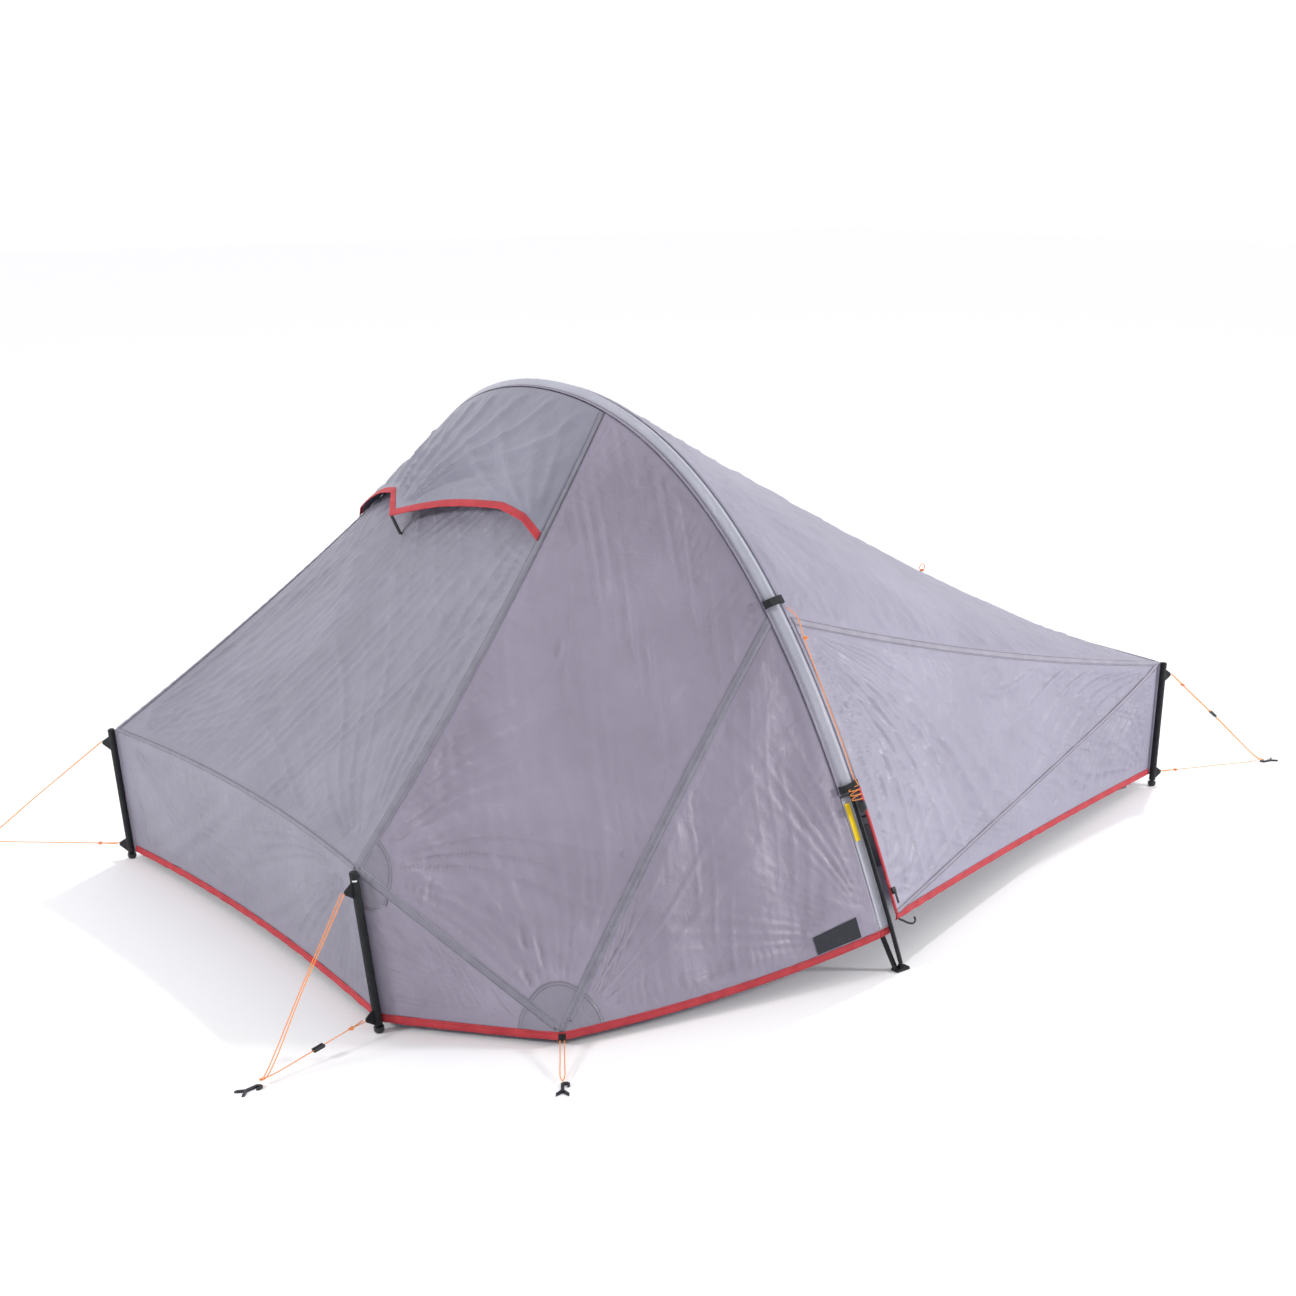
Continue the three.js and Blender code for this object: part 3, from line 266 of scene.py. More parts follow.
DROP = UP * HEM_HEIGHT
hem_hoop_near = hoop_left(-U_HEM) - DROP
hem_door_corner = hoop_edge(-U_HEM_DOOR, DOOR_SIDEWAYS, PANEL_DEPTH) - DROP
hem_hoop_far_left = hoop_left(U_HEM) - DROP
hem_hoop_far_right = hoop_right(U_HEM) - DROP
HEM = {
    "near_under_hoop": bowed(hoop_edge(-U_HEM, TAIL_EDGE, PANEL_DEPTH) - DROP, hem_hoop_near),
    "hoop_to_peg_out": bowed(hem_hoop_near, PEG_OUT, (0, -0.01, -0.012)),
    "peg_out_to_post": bowed(PEG_OUT, foot_left["near"], (0.002, 0, -0.003)),
    "left_end": bowed(foot_left["near"], foot_left["far"], (0.02, 0, 0.01)),
    "far_left": bowed(foot_left["far"], hem_hoop_far_left, (0, -0.015, 0)),
    "far_under_hoop": bowed(hem_hoop_far_left, hem_hoop_far_right),
    "far_right": bowed(hem_hoop_far_right, foot_right["far"], (0, -0.015, 0)),
    "right_end": bowed(foot_right["far"], foot_right["near"], (-0.04, 0, 0.018)),
}
HEM_DOOR = bowed(hem_door_corner, foot_right["near"], (0, 0.015, -0.003))
peg_out_top = PEG_OUT + DROP


def post_edge(foot, top):
    return bowed(foot + DROP, top)


SEAM = {
    "left_near": bowed(hoop_left(U_LEFT_NEAR), top_left["near"], (0.015, 0.01, -0.022)),
    "left_far": bowed(hoop_left(U_LEFT_FAR), top_left["far"], (0.015, -0.01, -0.003)),
    "side": bowed(hoop_left(U_SIDE), peg_out_top, (0, 0.012, -0.004)),
    "corner": bowed(top_left["near"], peg_out_top, (0.004, 0.004, -0.004)),
    "right_near": bowed(hoop_right(-U_RIGHT), top_right["near"], (0, 0.008, -0.025)),
    "right_far": bowed(hoop_right(U_RIGHT), top_right["far"], (0, -0.008, -0.025)),
}
TOP_LEFT_EDGE = bowed(top_left["near"], top_left["far"], (0.035, 0, 0.003))
TOP_RIGHT_EDGE = bowed(top_right["near"], top_right["far"], (-0.008, 0, 0.01))

roof_left = filled(
    low=hoop_curve(U_LEFT_NEAR, U_LEFT_FAR, -PANEL_SIDEWAYS),
    high=TOP_LEFT_EDGE,
    start=SEAM["left_near"],
    end=SEAM["left_far"],
    belly=(0, 0, -0.004),
)
roof_right = filled(
    low=hoop_curve(-U_RIGHT, U_RIGHT, PANEL_SIDEWAYS),
    high=TOP_RIGHT_EDGE,
    start=SEAM["right_near"],
    end=SEAM["right_far"],
    belly=(0, 0, 0.012),
)
side_main = filled(
    low=reversed_curve(SEAM["side"]),
    high=reversed_curve(SEAM["left_near"]),
    start=reversed_curve(SEAM["corner"]),
    end=hoop_curve(U_SIDE, U_LEFT_NEAR, -PANEL_SIDEWAYS),
    belly=(0.006, 0.016, -0.008),
)
side_hoop = filled(
    low=hoop_curve(-U_HEM, U_SIDE, -PANEL_SIDEWAYS),
    high=at_point(peg_out_top),
    start=raised(HEM["hoop_to_peg_out"], HEM_HEIGHT),
    end=SEAM["side"],
)
side_corner = filled(
    low=post_edge(foot_left["near"], top_left["near"]),
    high=at_point(peg_out_top),
    start=raised(reversed_curve(HEM["peg_out_to_post"]), HEM_HEIGHT),
    end=SEAM["corner"],
)
side_far_left = filled(
    low=raised(HEM["far_left"], HEM_HEIGHT),
    high=reversed_curve(SEAM["left_far"]),
    start=post_edge(foot_left["far"], top_left["far"]),
    end=hoop_curve(U_HEM, U_LEFT_FAR, -PANEL_SIDEWAYS),
    belly=(0, -0.014, 0),
)
side_far_right = filled(
    low=raised(reversed_curve(HEM["far_right"]), HEM_HEIGHT),
    high=reversed_curve(SEAM["right_far"]),
    start=post_edge(foot_right["far"], top_right["far"]),
    end=hoop_curve(U_HEM, U_RIGHT, PANEL_SIDEWAYS),
    belly=(0, -0.014, 0),
)
end_left = filled(
    low=raised(HEM["left_end"], HEM_HEIGHT),
    high=TOP_LEFT_EDGE,
    start=post_edge(foot_left["near"], top_left["near"]),
    end=post_edge(foot_left["far"], top_left["far"]),
)
end_right = filled(
    low=raised(reversed_curve(HEM["right_end"]), HEM_HEIGHT),
    high=TOP_RIGHT_EDGE,
    start=post_edge(foot_right["near"], top_right["near"]),
    end=post_edge(foot_right["far"], top_right["far"]),
)
# The whole near side right of the hoop, door leaf and fixed corner in one sheet: u runs from the
# hoop to the post and v from the hem to the upper seam. A seam crosses it from corner to corner.
side_right = filled(
    low=raised(HEM_DOOR, HEM_HEIGHT),
    high=SEAM["right_near"],
    start=hoop_curve(-U_HEM_DOOR, -U_RIGHT, DOOR_SIDEWAYS),
    end=post_edge(foot_right["near"], top_right["near"]),
)


def on_crossing(t, beside=0.0):
    """A point of the crossing seam, or of the cloth beside it, from the door's corner to the post."""
    shift = CROSSING_BOW * t * (1 - t) + beside
    return side_right(t + shift, t - shift)


def from_crossing(u, v):
    """How far a place in the sheet lies from the crossing seam, as a share of the sheet."""
    t = (u + v) / 2
    return np.abs(u - v - 2 * CROSSING_BOW * t * (1 - t))


# ------------------------------------------------------------------ meshes
def link(name, data):
    item = bpy.data.objects.new(name, data)
    bpy.context.scene.collection.objects.link(item)
    return item


def finish_piece(item, material, body):
    item.data.materials.append(material)
    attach(item, body)
    return item


def grid_mesh(name, points, uv, wrap=False):
    """A mesh from a grid of points, rows by columns, with its place in the cloth as UV."""
    rows, columns = points.shape[:2]
    index = np.arange(rows * columns).reshape(rows, columns)
    if wrap:
        index = np.hstack([index, index[:, :1]])
    a, b, c, d = index[:-1, :-1], index[:-1, 1:], index[1:, 1:], index[1:, :-1]
    faces = np.stack([a, b, c, d], axis=-1).reshape(-1, 4)
    mesh = bpy.data.meshes.new(name)
    mesh.from_pydata(points.reshape(-1, 3).tolist(), [], faces.tolist())
    flat_uv = uv.reshape(-1, 2)
    layer = mesh.uv_layers.new(name="Cloth")
    layer.data.foreach_set("uv", flat_uv[faces.reshape(-1)].astype(np.float32).reshape(-1))
    mesh.polygons.foreach_set("use_smooth", np.ones(len(faces), bool))
    mesh.update()
    return mesh


def thicken(item, thick, offset=0.0):
    solid = item.modifiers.new("thickness", "SOLIDIFY")
    solid.thickness = thick
    solid.offset = offset
    solid.use_even_offset = False
    return item


def lengths_along(points, axis):
    steps = np.linalg.norm(np.diff(points, axis=axis), axis=-1)
    total = np.cumsum(steps, axis=axis)
    return np.concatenate([np.zeros_like(np.take(total, [0], axis)), total], axis=axis)


def cloth_uv(points):
    """Where each point of a grid lies in its cloth, in metres."""
    across = lengths_along(points, 1)
    across = across - across[:, -1:] / 2
    return np.stack([across, lengths_along(points, 0)], axis=-1)


def normals_of(points, outward):
    """Normals of a grid of points, turned to the outward side."""
    du = np.gradient(points, axis=1)
    dv = np.gradient(points, axis=0)
    normal = unit(np.cross(du, dv))
    middle = normal[normal.shape[0] // 2, normal.shape[1] // 2]
    return normal if middle @ np.array(outward, float) > 0 else -normal


# ------------------------------------------------------------------ wrinkles
def waves(x, seed, count, low, high):
    """A smooth random line made of count waves, between two wavelengths."""
    rng = np.random.default_rng(seed)
    total = np.zeros_like(x)
    for _ in range(count):
        wavelength = rng.uniform(low, high)
        total += np.sin(2 * math.pi * x / wavelength + rng.uniform(0, 6.28)) * rng.uniform(0.5, 1)
    return total / math.sqrt(count)


def ridges(x, width=0.42):
    """Narrow crests where the smooth line x crosses zero, with flat valleys between them."""
    return np.exp(-((x / width) ** 2)) - 0.4


def pull(points, corner, amount, reach, seed, spokes=26):
    """Folds that spread from a corner where the cloth is pulled."""
    corner = np.array(corner, float)
    offset = points - corner
    distance = np.linalg.norm(offset, axis=-1)
    middle = unit(points.reshape(-1, 3).mean(axis=0) - corner)
    diagonals = [points[-1, -1] - points[0, 0], points[0, -1] - points[-1, 0]]
    normals = [np.cross(middle, unit(line + 1e-6)) for line in diagonals]
    normal = unit(max(normals, key=np.linalg.norm))
    angle = np.arctan2(offset @ np.cross(normal, middle), offset @ middle)
    length = reach * (0.75 + 0.35 * np.tanh(waves(angle, seed + 3, 4, 0.15, 0.5)))
    share = distance / length
    strength = share * np.exp(1 - 2.4 * share) * 2.4
    bend = 0.12 * waves(distance, seed + 1, 2, reach, 2 * reach)
    return amount * strength * ridges(waves(angle + bend, seed, 6, 6.28 / spokes, 12.0 / spokes))


def pucker(distance, along, amount, reach, seed, low=0.02, high=0.06):
    """Short folds that run away from a seam."""
    lean = 0.5 * waves(along, seed + 2, 2, 0.25, 0.6) * distance
    length = reach * (0.7 + 0.5 * np.tanh(waves(along, seed + 1, 4, 0.05, 0.3)))
    strength = np.exp(-distance / length)
    return amount * strength * ridges(waves(along + lean, seed, 5, low, high))


def drape(across, down, amount, seed, low, high):
    """Long soft folds side by side, wandering a little as they hang."""
    wander = 0.02 * waves(down, seed + 1, 3, 0.3, 0.9)
    strength = 0.6 + 0.4 * np.tanh(waves(down + across, seed + 2, 3, 0.2, 0.6))
    return amount * strength * waves(across + wander, seed, 5, low, high)


def creases(across, down, amount, seed, low, high):
    """Long narrow creases side by side, each fading in and out."""
    wander = 0.012 * waves(down, seed + 1, 3, 0.25, 0.8)
    strength = np.clip(0.5 + 0.7 * waves(down + 3 * across, seed + 2, 4, 0.2, 0.7), 0, 1.3)
    return amount * strength * ridges(waves(across + wander, seed, 5, low, high), 0.5)


def crinkle(points, amount, size, seed):
    """Fine irregular creases."""
    flat = points.reshape(-1, 3)
    shift = Vector((seed * 3.7, seed * 1.3, seed * 2.1))
    heights = [
        noise.ridged_multi_fractal(Vector(p) / size + shift, 0.9, 2.1, 3, 0.9, 2.0) for p in flat
    ]
    heights = np.array(heights).reshape(points.shape[:2])
    return amount * (heights - heights.mean()) / (heights.std() + 1e-9)


def fade_edges(points):
    """0 along the edges of a panel, where its seams hold it flat, and 1 well inside it."""
    nearest = np.minimum.reduce(np.broadcast_arrays(*edge_distances(points)))
    return np.clip((nearest - SEAM_WIDTH / 2) / 0.024, 0, 1) ** 1.5


def fade_spots(points, spots):
    """0 under each reinforcement patch and 1 clear of it."""
    fade = np.ones(points.shape[:2])
    for corner, radius in spots:
        distance = np.linalg.norm(points - corner, axis=-1)
        fade = fade * np.clip((distance - radius) / 0.02, 0.04, 1)
    return fade


def surface_grid(surface, columns, rows, u=(0, 1), v=(0, 1)):
    uu, vv = np.meshgrid(np.linspace(*u, columns), np.linspace(*v, rows))
    return surface(uu, vv)


def edge_distances(points):
    """Distance along the cloth to its four edges: low, high, start and end."""
    down, across = lengths_along(points, 0), lengths_along(points, 1)
    return down, down[-1:] - down, across, across[:, -1:] - across


PATCHES = (
    (top_left["near"], PATCH_RADIUS), (top_left["far"], PATCH_RADIUS),
    (top_right["far"], PATCH_RADIUS), (peg_out_top, PEG_PATCH_RADIUS),
)


def panel(name, surface, material, slot, replaced, outward, grid=(90, 90), shape=None, **options):
    """One cloth of the flysheet, wrinkled. shape(points) gives the height of its folds."""
    u, v = options.get("u", (0, 1)), options.get("v", (0, 1))
    points = surface_grid(surface, grid[0], grid[1], u, v)
    normal = normals_of(points, outward)
    size = options.get("crinkle", 0.0009)
    height = crinkle(points, size, 0.16, len(name)) + crinkle(points, size * 0.3, 0.045, 9)
    if shape:
        height = height + shape(points)
    height = height * fade_edges(points) * fade_spots(points, PATCHES)
    if "calm" in options:
        height = height * options["calm"](*np.meshgrid(np.linspace(*u, grid[0]), np.linspace(*v, grid[1])))
    uv = cloth_uv(points)
    item = link(name, grid_mesh(name, points + normal * height[..., None], uv))
    thicken(item, CLOTH_THICK)
    item.data.materials.append(material)
    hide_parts(*replaced)
    return item


# ------------------------------------------------------------------ materials
class Nodes:
    """Short calls for building one material's nodes."""

    def __init__(self, name):
        self.material = bpy.data.materials.new(name)
        self.material.use_nodes = True
        self.tree = self.material.node_tree
        self.shader = self.tree.nodes["Principled BSDF"]
        self.output = self.tree.nodes["Material Output"]
        self.coordinates = self.tree.nodes.new("ShaderNodeTexCoord")

    def node(self, kind, inputs=(), **settings):
        made = self.tree.nodes.new(kind)
        for key, value in settings.items():
            setattr(made, key, value)
        for key, value in dict(inputs).items():
            if isinstance(value, bpy.types.NodeSocket):
                self.tree.links.new(value, made.inputs[key])
            else:
                made.inputs[key].default_value = value
        return made

    def math(self, operation, a, b=0.0):
        return self.node("ShaderNodeMath", {0: a, 1: b}, operation=operation).outputs[0]

    def noise(self, scale, detail=3.0, roughness=0.5, vector=None, distortion=0.0):
        inputs = {
            "Vector": vector or self.coordinates.outputs["Object"],
            "Scale": scale,
            "Detail": detail,
            "Roughness": roughness,
            "Distortion": distortion,
        }
        return self.node("ShaderNodeTexNoise", inputs).outputs[0]

    def ramp(self, factor, low, high):
        """0 below low and 1 above high."""
        inputs = {"Value": factor, "From Min": low, "From Max": high}
        return self.node("ShaderNodeMapRange", inputs).outputs[0]

    def mix(self, factor, a, b):
        inputs = {"Factor": factor, "A": a, "B": b}
        mixer = self.tree.nodes.new("ShaderNodeMix")
        mixer.data_type = "RGBA"
        for key, value in inputs.items():
            socket = [s for s in mixer.inputs if s.name == key and s.enabled][0]
            if isinstance(value, bpy.types.NodeSocket):
                self.tree.links.new(value, socket)
            else:
                socket.default_value = (*value, 1) if key != "Factor" else value
        return [s for s in mixer.outputs if s.enabled][0]

    def bump(self, height, distance, strength=1.0, normal=None):
        inputs = {"Height": height, "Distance": distance, "Strength": strength}
        if normal is not None:
            inputs["Normal"] = normal
        return self.node("ShaderNodeBump", inputs).outputs[0]

    def set(self, **values):
        for key, value in values.items():
            socket = self.shader.inputs[key.replace("_", " ")]
            if isinstance(value, bpy.types.NodeSocket):
                self.tree.links.new(value, socket)
            else:
                socket.default_value = value

    def uv(self):
        split = self.node("ShaderNodeSeparateXYZ", {"Vector": self.coordinates.outputs["UV"]})
        return split.outputs[0], split.outputs[1]

    def stripes(self, value, period, share):
        """1 on the given share of every period."""
        place = self.math("FRACT", self.math("DIVIDE", value, period))
        return self.math("LESS_THAN", place, share)

    def see_through(self, share, colour):
        """Lets some light through thin cloth."""
        behind = self.node("ShaderNodeBsdfTranslucent", {"Color": colour})
        mixer = self.node("ShaderNodeMixShader", {0: share})
        self.tree.links.new(self.shader.outputs[0], mixer.inputs[1])
        self.tree.links.new(behind.outputs[0], mixer.inputs[2])
        self.tree.links.new(mixer.outputs[0], self.output.inputs["Surface"])


def scaled(colour, share):
    return tuple(c * share for c in colour)


def ripstop(name, colour, shade, see_through=0.3, roughness=0.4):
    """Thin coated cloth with a fine grid of thicker threads and sharp little creases, each crease with a
    painted highlight along its line.
    """
    n = Nodes(name)
    u, v = n.uv()
    grid = n.math("MAXIMUM", n.stripes(u, 0.0055, 0.16), n.stripes(v, 0.0055, 0.16))
    cloud = n.ramp(n.noise(3.5, 4.0, 0.6), 0.35, 0.68)
    tint = n.mix(cloud, shade, colour)
    creases = n.node(
        "ShaderNodeTexVoronoi",
        {"Vector": n.coordinates.outputs["Object"], "Scale": 14.0, "Randomness": 1.0},
        feature="DISTANCE_TO_EDGE",
    ).outputs["Distance"]
    crease_line_and_highlight = n.math("SUBTRACT", 1.0, n.ramp(creases, 0.0, 0.02))
    crease_line_and_highlight = n.math("MULTIPLY", crease_line_and_highlight, n.ramp(n.noise(7.0, 2.0), 0.56, 0.66))
    # Painted highlight: the colour is made lighter along the crease lines, where their ridges would catch
    # the light.
    tint = n.mix(n.math("MULTIPLY", crease_line_and_highlight, 0.14), tint, scaled(colour, 1.5))
    tint = n.mix(n.math("MULTIPLY", grid, 0.1), tint, scaled(shade, 0.6))
    soft = n.noise(26.0, 5.0, 0.62, distortion=0.7)
    normal = n.bump(soft, 0.008, 0.55)
    normal = n.bump(crease_line_and_highlight, 0.0006, 0.35, normal)
    normal = n.bump(grid, 0.00015, 0.5, normal)
    rough = n.math("ADD", n.math("MULTIPLY", n.noise(40.0), 0.16), roughness - 0.08)
    n.set(Base_Color=tint, Roughness=rough, Normal=normal)
    n.set(Specular_IOR_Level=0.5, Sheen_Weight=0.15, Sheen_Roughness=0.35)
    n.see_through(see_through, (*scaled(colour, 1.15), 1))
    return n.material


def tape(name, colour, dark, rough=0.6):
    """Binding or a felled seam: fine ribs across it."""
    n = Nodes(name)
    v = n.uv()[1]
    ribs = n.math("SINE", n.math("MULTIPLY", v, 2 * math.pi / 0.0011))
    cloud = n.ramp(n.noise(30.0, 4.0), 0.3, 0.7)
    tint = n.mix(cloud, dark, colour)
    tint = n.mix(n.math("MULTIPLY", n.ramp(ribs, -1, 1), 0.12), tint, scaled(dark, 0.6))
    normal = n.bump(ribs, 0.0001, 0.5)
    normal = n.bump(n.noise(90.0, 3.0), 0.0006, 0.5, normal)
    n.set(Base_Color=tint, Roughness=rough, Normal=normal, Specular_IOR_Level=0.3)
    return n.material


def webbing(name, colour, light, rough=0.62):
    """Woven webbing, with a herringbone of slanted ribs."""
    n = Nodes(name)
    place = n.node("ShaderNodeSeparateXYZ", {"Vector": n.coordinates.outputs["Object"]}).outputs
    slant = n.math("ADD", place[2], n.math("PINGPONG", n.math("ADD", place[0], place[1]), 0.003))
    ribs = n.math("SINE", n.math("MULTIPLY", slant, 2 * math.pi / 0.0016))
    worn = n.ramp(n.noise(120.0, 4.0), 0.45, 0.75)
    tint = n.mix(n.math("MULTIPLY", n.ramp(ribs, 0, 1), 0.35), colour, light)
    tint = n.mix(n.math("MULTIPLY", worn, 0.3), tint, light)
    normal = n.bump(ribs, 0.0002, 0.7)
    n.set(Base_Color=tint, Roughness=rough, Normal=normal, Specular_IOR_Level=0.3)
    return n.material


def hard(name, colour, light, rough=0.35, metal=0.0, grain=60.0):
    """Moulded plastic or coated metal, a little scuffed."""
    n = Nodes(name)
    scuff = n.ramp(n.noise(grain, 6.0, 0.7), 0.5, 0.75)
    tint = n.mix(n.math("MULTIPLY", scuff, 0.5), colour, light)
    roughness = n.math("ADD", n.math("MULTIPLY", scuff, 0.25), rough)
    n.set(Base_Color=tint, Roughness=roughness, Metallic=metal)
    n.set(Normal=n.bump(n.noise(grain * 8, 3.0), 0.0001, 0.4))
    return n.material


def braid(name, colour, dark, turns):
    """A braided cord: two sets of strands that cross as they wind round it."""
    n = Nodes(name)
    u, v = n.uv()
    along = n.math("MULTIPLY", u, turns)
    one = n.math("SINE", n.math("MULTIPLY", n.math("ADD", along, v), 2 * math.pi * 2))
    other = n.math("SINE", n.math("MULTIPLY", n.math("SUBTRACT", along, v), 2 * math.pi * 2))
    strands = n.math("MULTIPLY", one, other)
    tint = n.mix(n.ramp(strands, -0.6, 0.4), dark, colour)
    n.set(Base_Color=tint, Roughness=0.55, Normal=n.bump(strands, 0.0002, 0.8))
    n.set(Sheen_Weight=0.2)
    return n.material


def netting(name, colour, cell):
    """Fine netting: threads round a grid of small holes."""
    n = Nodes(name)
    u, v = n.uv()
    threads = n.math("MAXIMUM", n.stripes(u, cell, 0.45), n.stripes(v, cell, 0.45))
    n.set(Base_Color=(*colour, 1), Roughness=0.7, Alpha=threads)
    return n.material


ROOF = ripstop("roof_cloth", (0.39, 0.375, 0.46), (0.325, 0.31, 0.385))
SIDE = ripstop("side_cloth", (0.465, 0.425, 0.535), (0.38, 0.345, 0.44), see_through=0.34)
LIGHT = ripstop("light_cloth", (0.455, 0.435, 0.545), (0.385, 0.365, 0.465), see_through=0.3)
HOOD = ripstop("hood_cloth", (0.335, 0.33, 0.415), (0.275, 0.27, 0.345), see_through=0.2)
PATCH = ripstop("patch_cloth", (0.30, 0.28, 0.35), (0.25, 0.235, 0.295), see_through=0.15)
SLEEVE = ripstop("sleeve_cloth", (0.53, 0.53, 0.615), (0.44, 0.445, 0.52), see_through=0.1)
SEAM_TAPE = tape("seam_tape", (0.26, 0.25, 0.305), (0.215, 0.205, 0.25))
SEAM_LIGHT = tape("seam_tape_light", (0.34, 0.32, 0.385), (0.28, 0.26, 0.32))
THREAD = hard("thread", (0.10, 0.095, 0.12), (0.2, 0.19, 0.23), 0.7)
RED_THREAD = hard("red_thread", (0.40, 0.03, 0.045), (0.6, 0.1, 0.1), 0.7)
RED = tape(
    "red_binding", (0.53, 0.05, 0.062), (0.42, 0.032, 0.045)
)
BLACK = webbing("black_webbing", (0.006, 0.007, 0.009), (0.035, 0.038, 0.045))
YELLOW = webbing("yellow_webbing", (0.92, 0.62, 0.0), (0.98, 0.75, 0.08))
PLASTIC = hard("dark_plastic", (0.010, 0.011, 0.014), (0.05, 0.052, 0.06), 0.38)
PEG_METAL = hard("peg_metal", (0.03, 0.032, 0.04), (0.16, 0.165, 0.18), 0.35, 0.6, 90.0)
POLE_METAL = hard("pole_metal", (0.008, 0.009, 0.012), (0.04, 0.042, 0.05), 0.28, 0.5, 25.0)
CORD = braid("orange_cord", (1.0, 0.36, 0.045), (0.85, 0.2, 0.015), 180.0)
ELASTIC = braid("elastic", (0.75, 0.75, 0.75), (0.55, 0.55, 0.55), 300.0)
NET = netting("vent_netting", (0.02, 0.02, 0.024), 0.0016)
INNER = ripstop("inner_cloth", (0.62, 0.61, 0.64), (0.55, 0.54, 0.57), see_through=0.4)
TUB = ripstop("tub_cloth", (0.17, 0.16, 0.19), (0.13, 0.12, 0.15), see_through=0.05)
LABEL = webbing("label_cloth", (0.018, 0.02, 0.028), (0.04, 0.043, 0.055))
REFLECTOR = hard("reflective_mark", (0.75, 0.76, 0.78), (0.9, 0.9, 0.9), 0.3)


# ------------------------------------------------------------------ flysheet


def seam_folds(points, seed, low=0.0, high=0.0, start=0.0, end=0.0, reach=0.05):
    """Puckers along each edge of a panel that is sewn."""
    down, up, left, right = edge_distances(points)
    along_u, along_v = lengths_along(points, 1), lengths_along(points, 0)
    total = np.zeros(points.shape[:2])
    for k, (distance, along, amount) in enumerate(
        ((down, along_u, low), (up, along_u, high), (left, along_v, start), (right, along_v, end))
    ):
        if amount:
            total = total + pucker(distance, along, amount, reach, seed + 7 * k)
    return total


def beside_label(u, v):
    """0 under the label and 1 clear of it."""
    (u0, u1), (v0, v1) = LABEL_U, LABEL_V
    outside = np.maximum(np.maximum(u0 - u, u - u1) / 0.04, np.maximum(v0 - v, v - v1) / 0.05)
    return np.clip(outside, 0, 1)


def beside_crossing_seam(u, v):
    """0 under the seam that crosses the door side and 1 clear of it."""
    return np.clip(from_crossing(u, v) / 0.05, 0, 1)


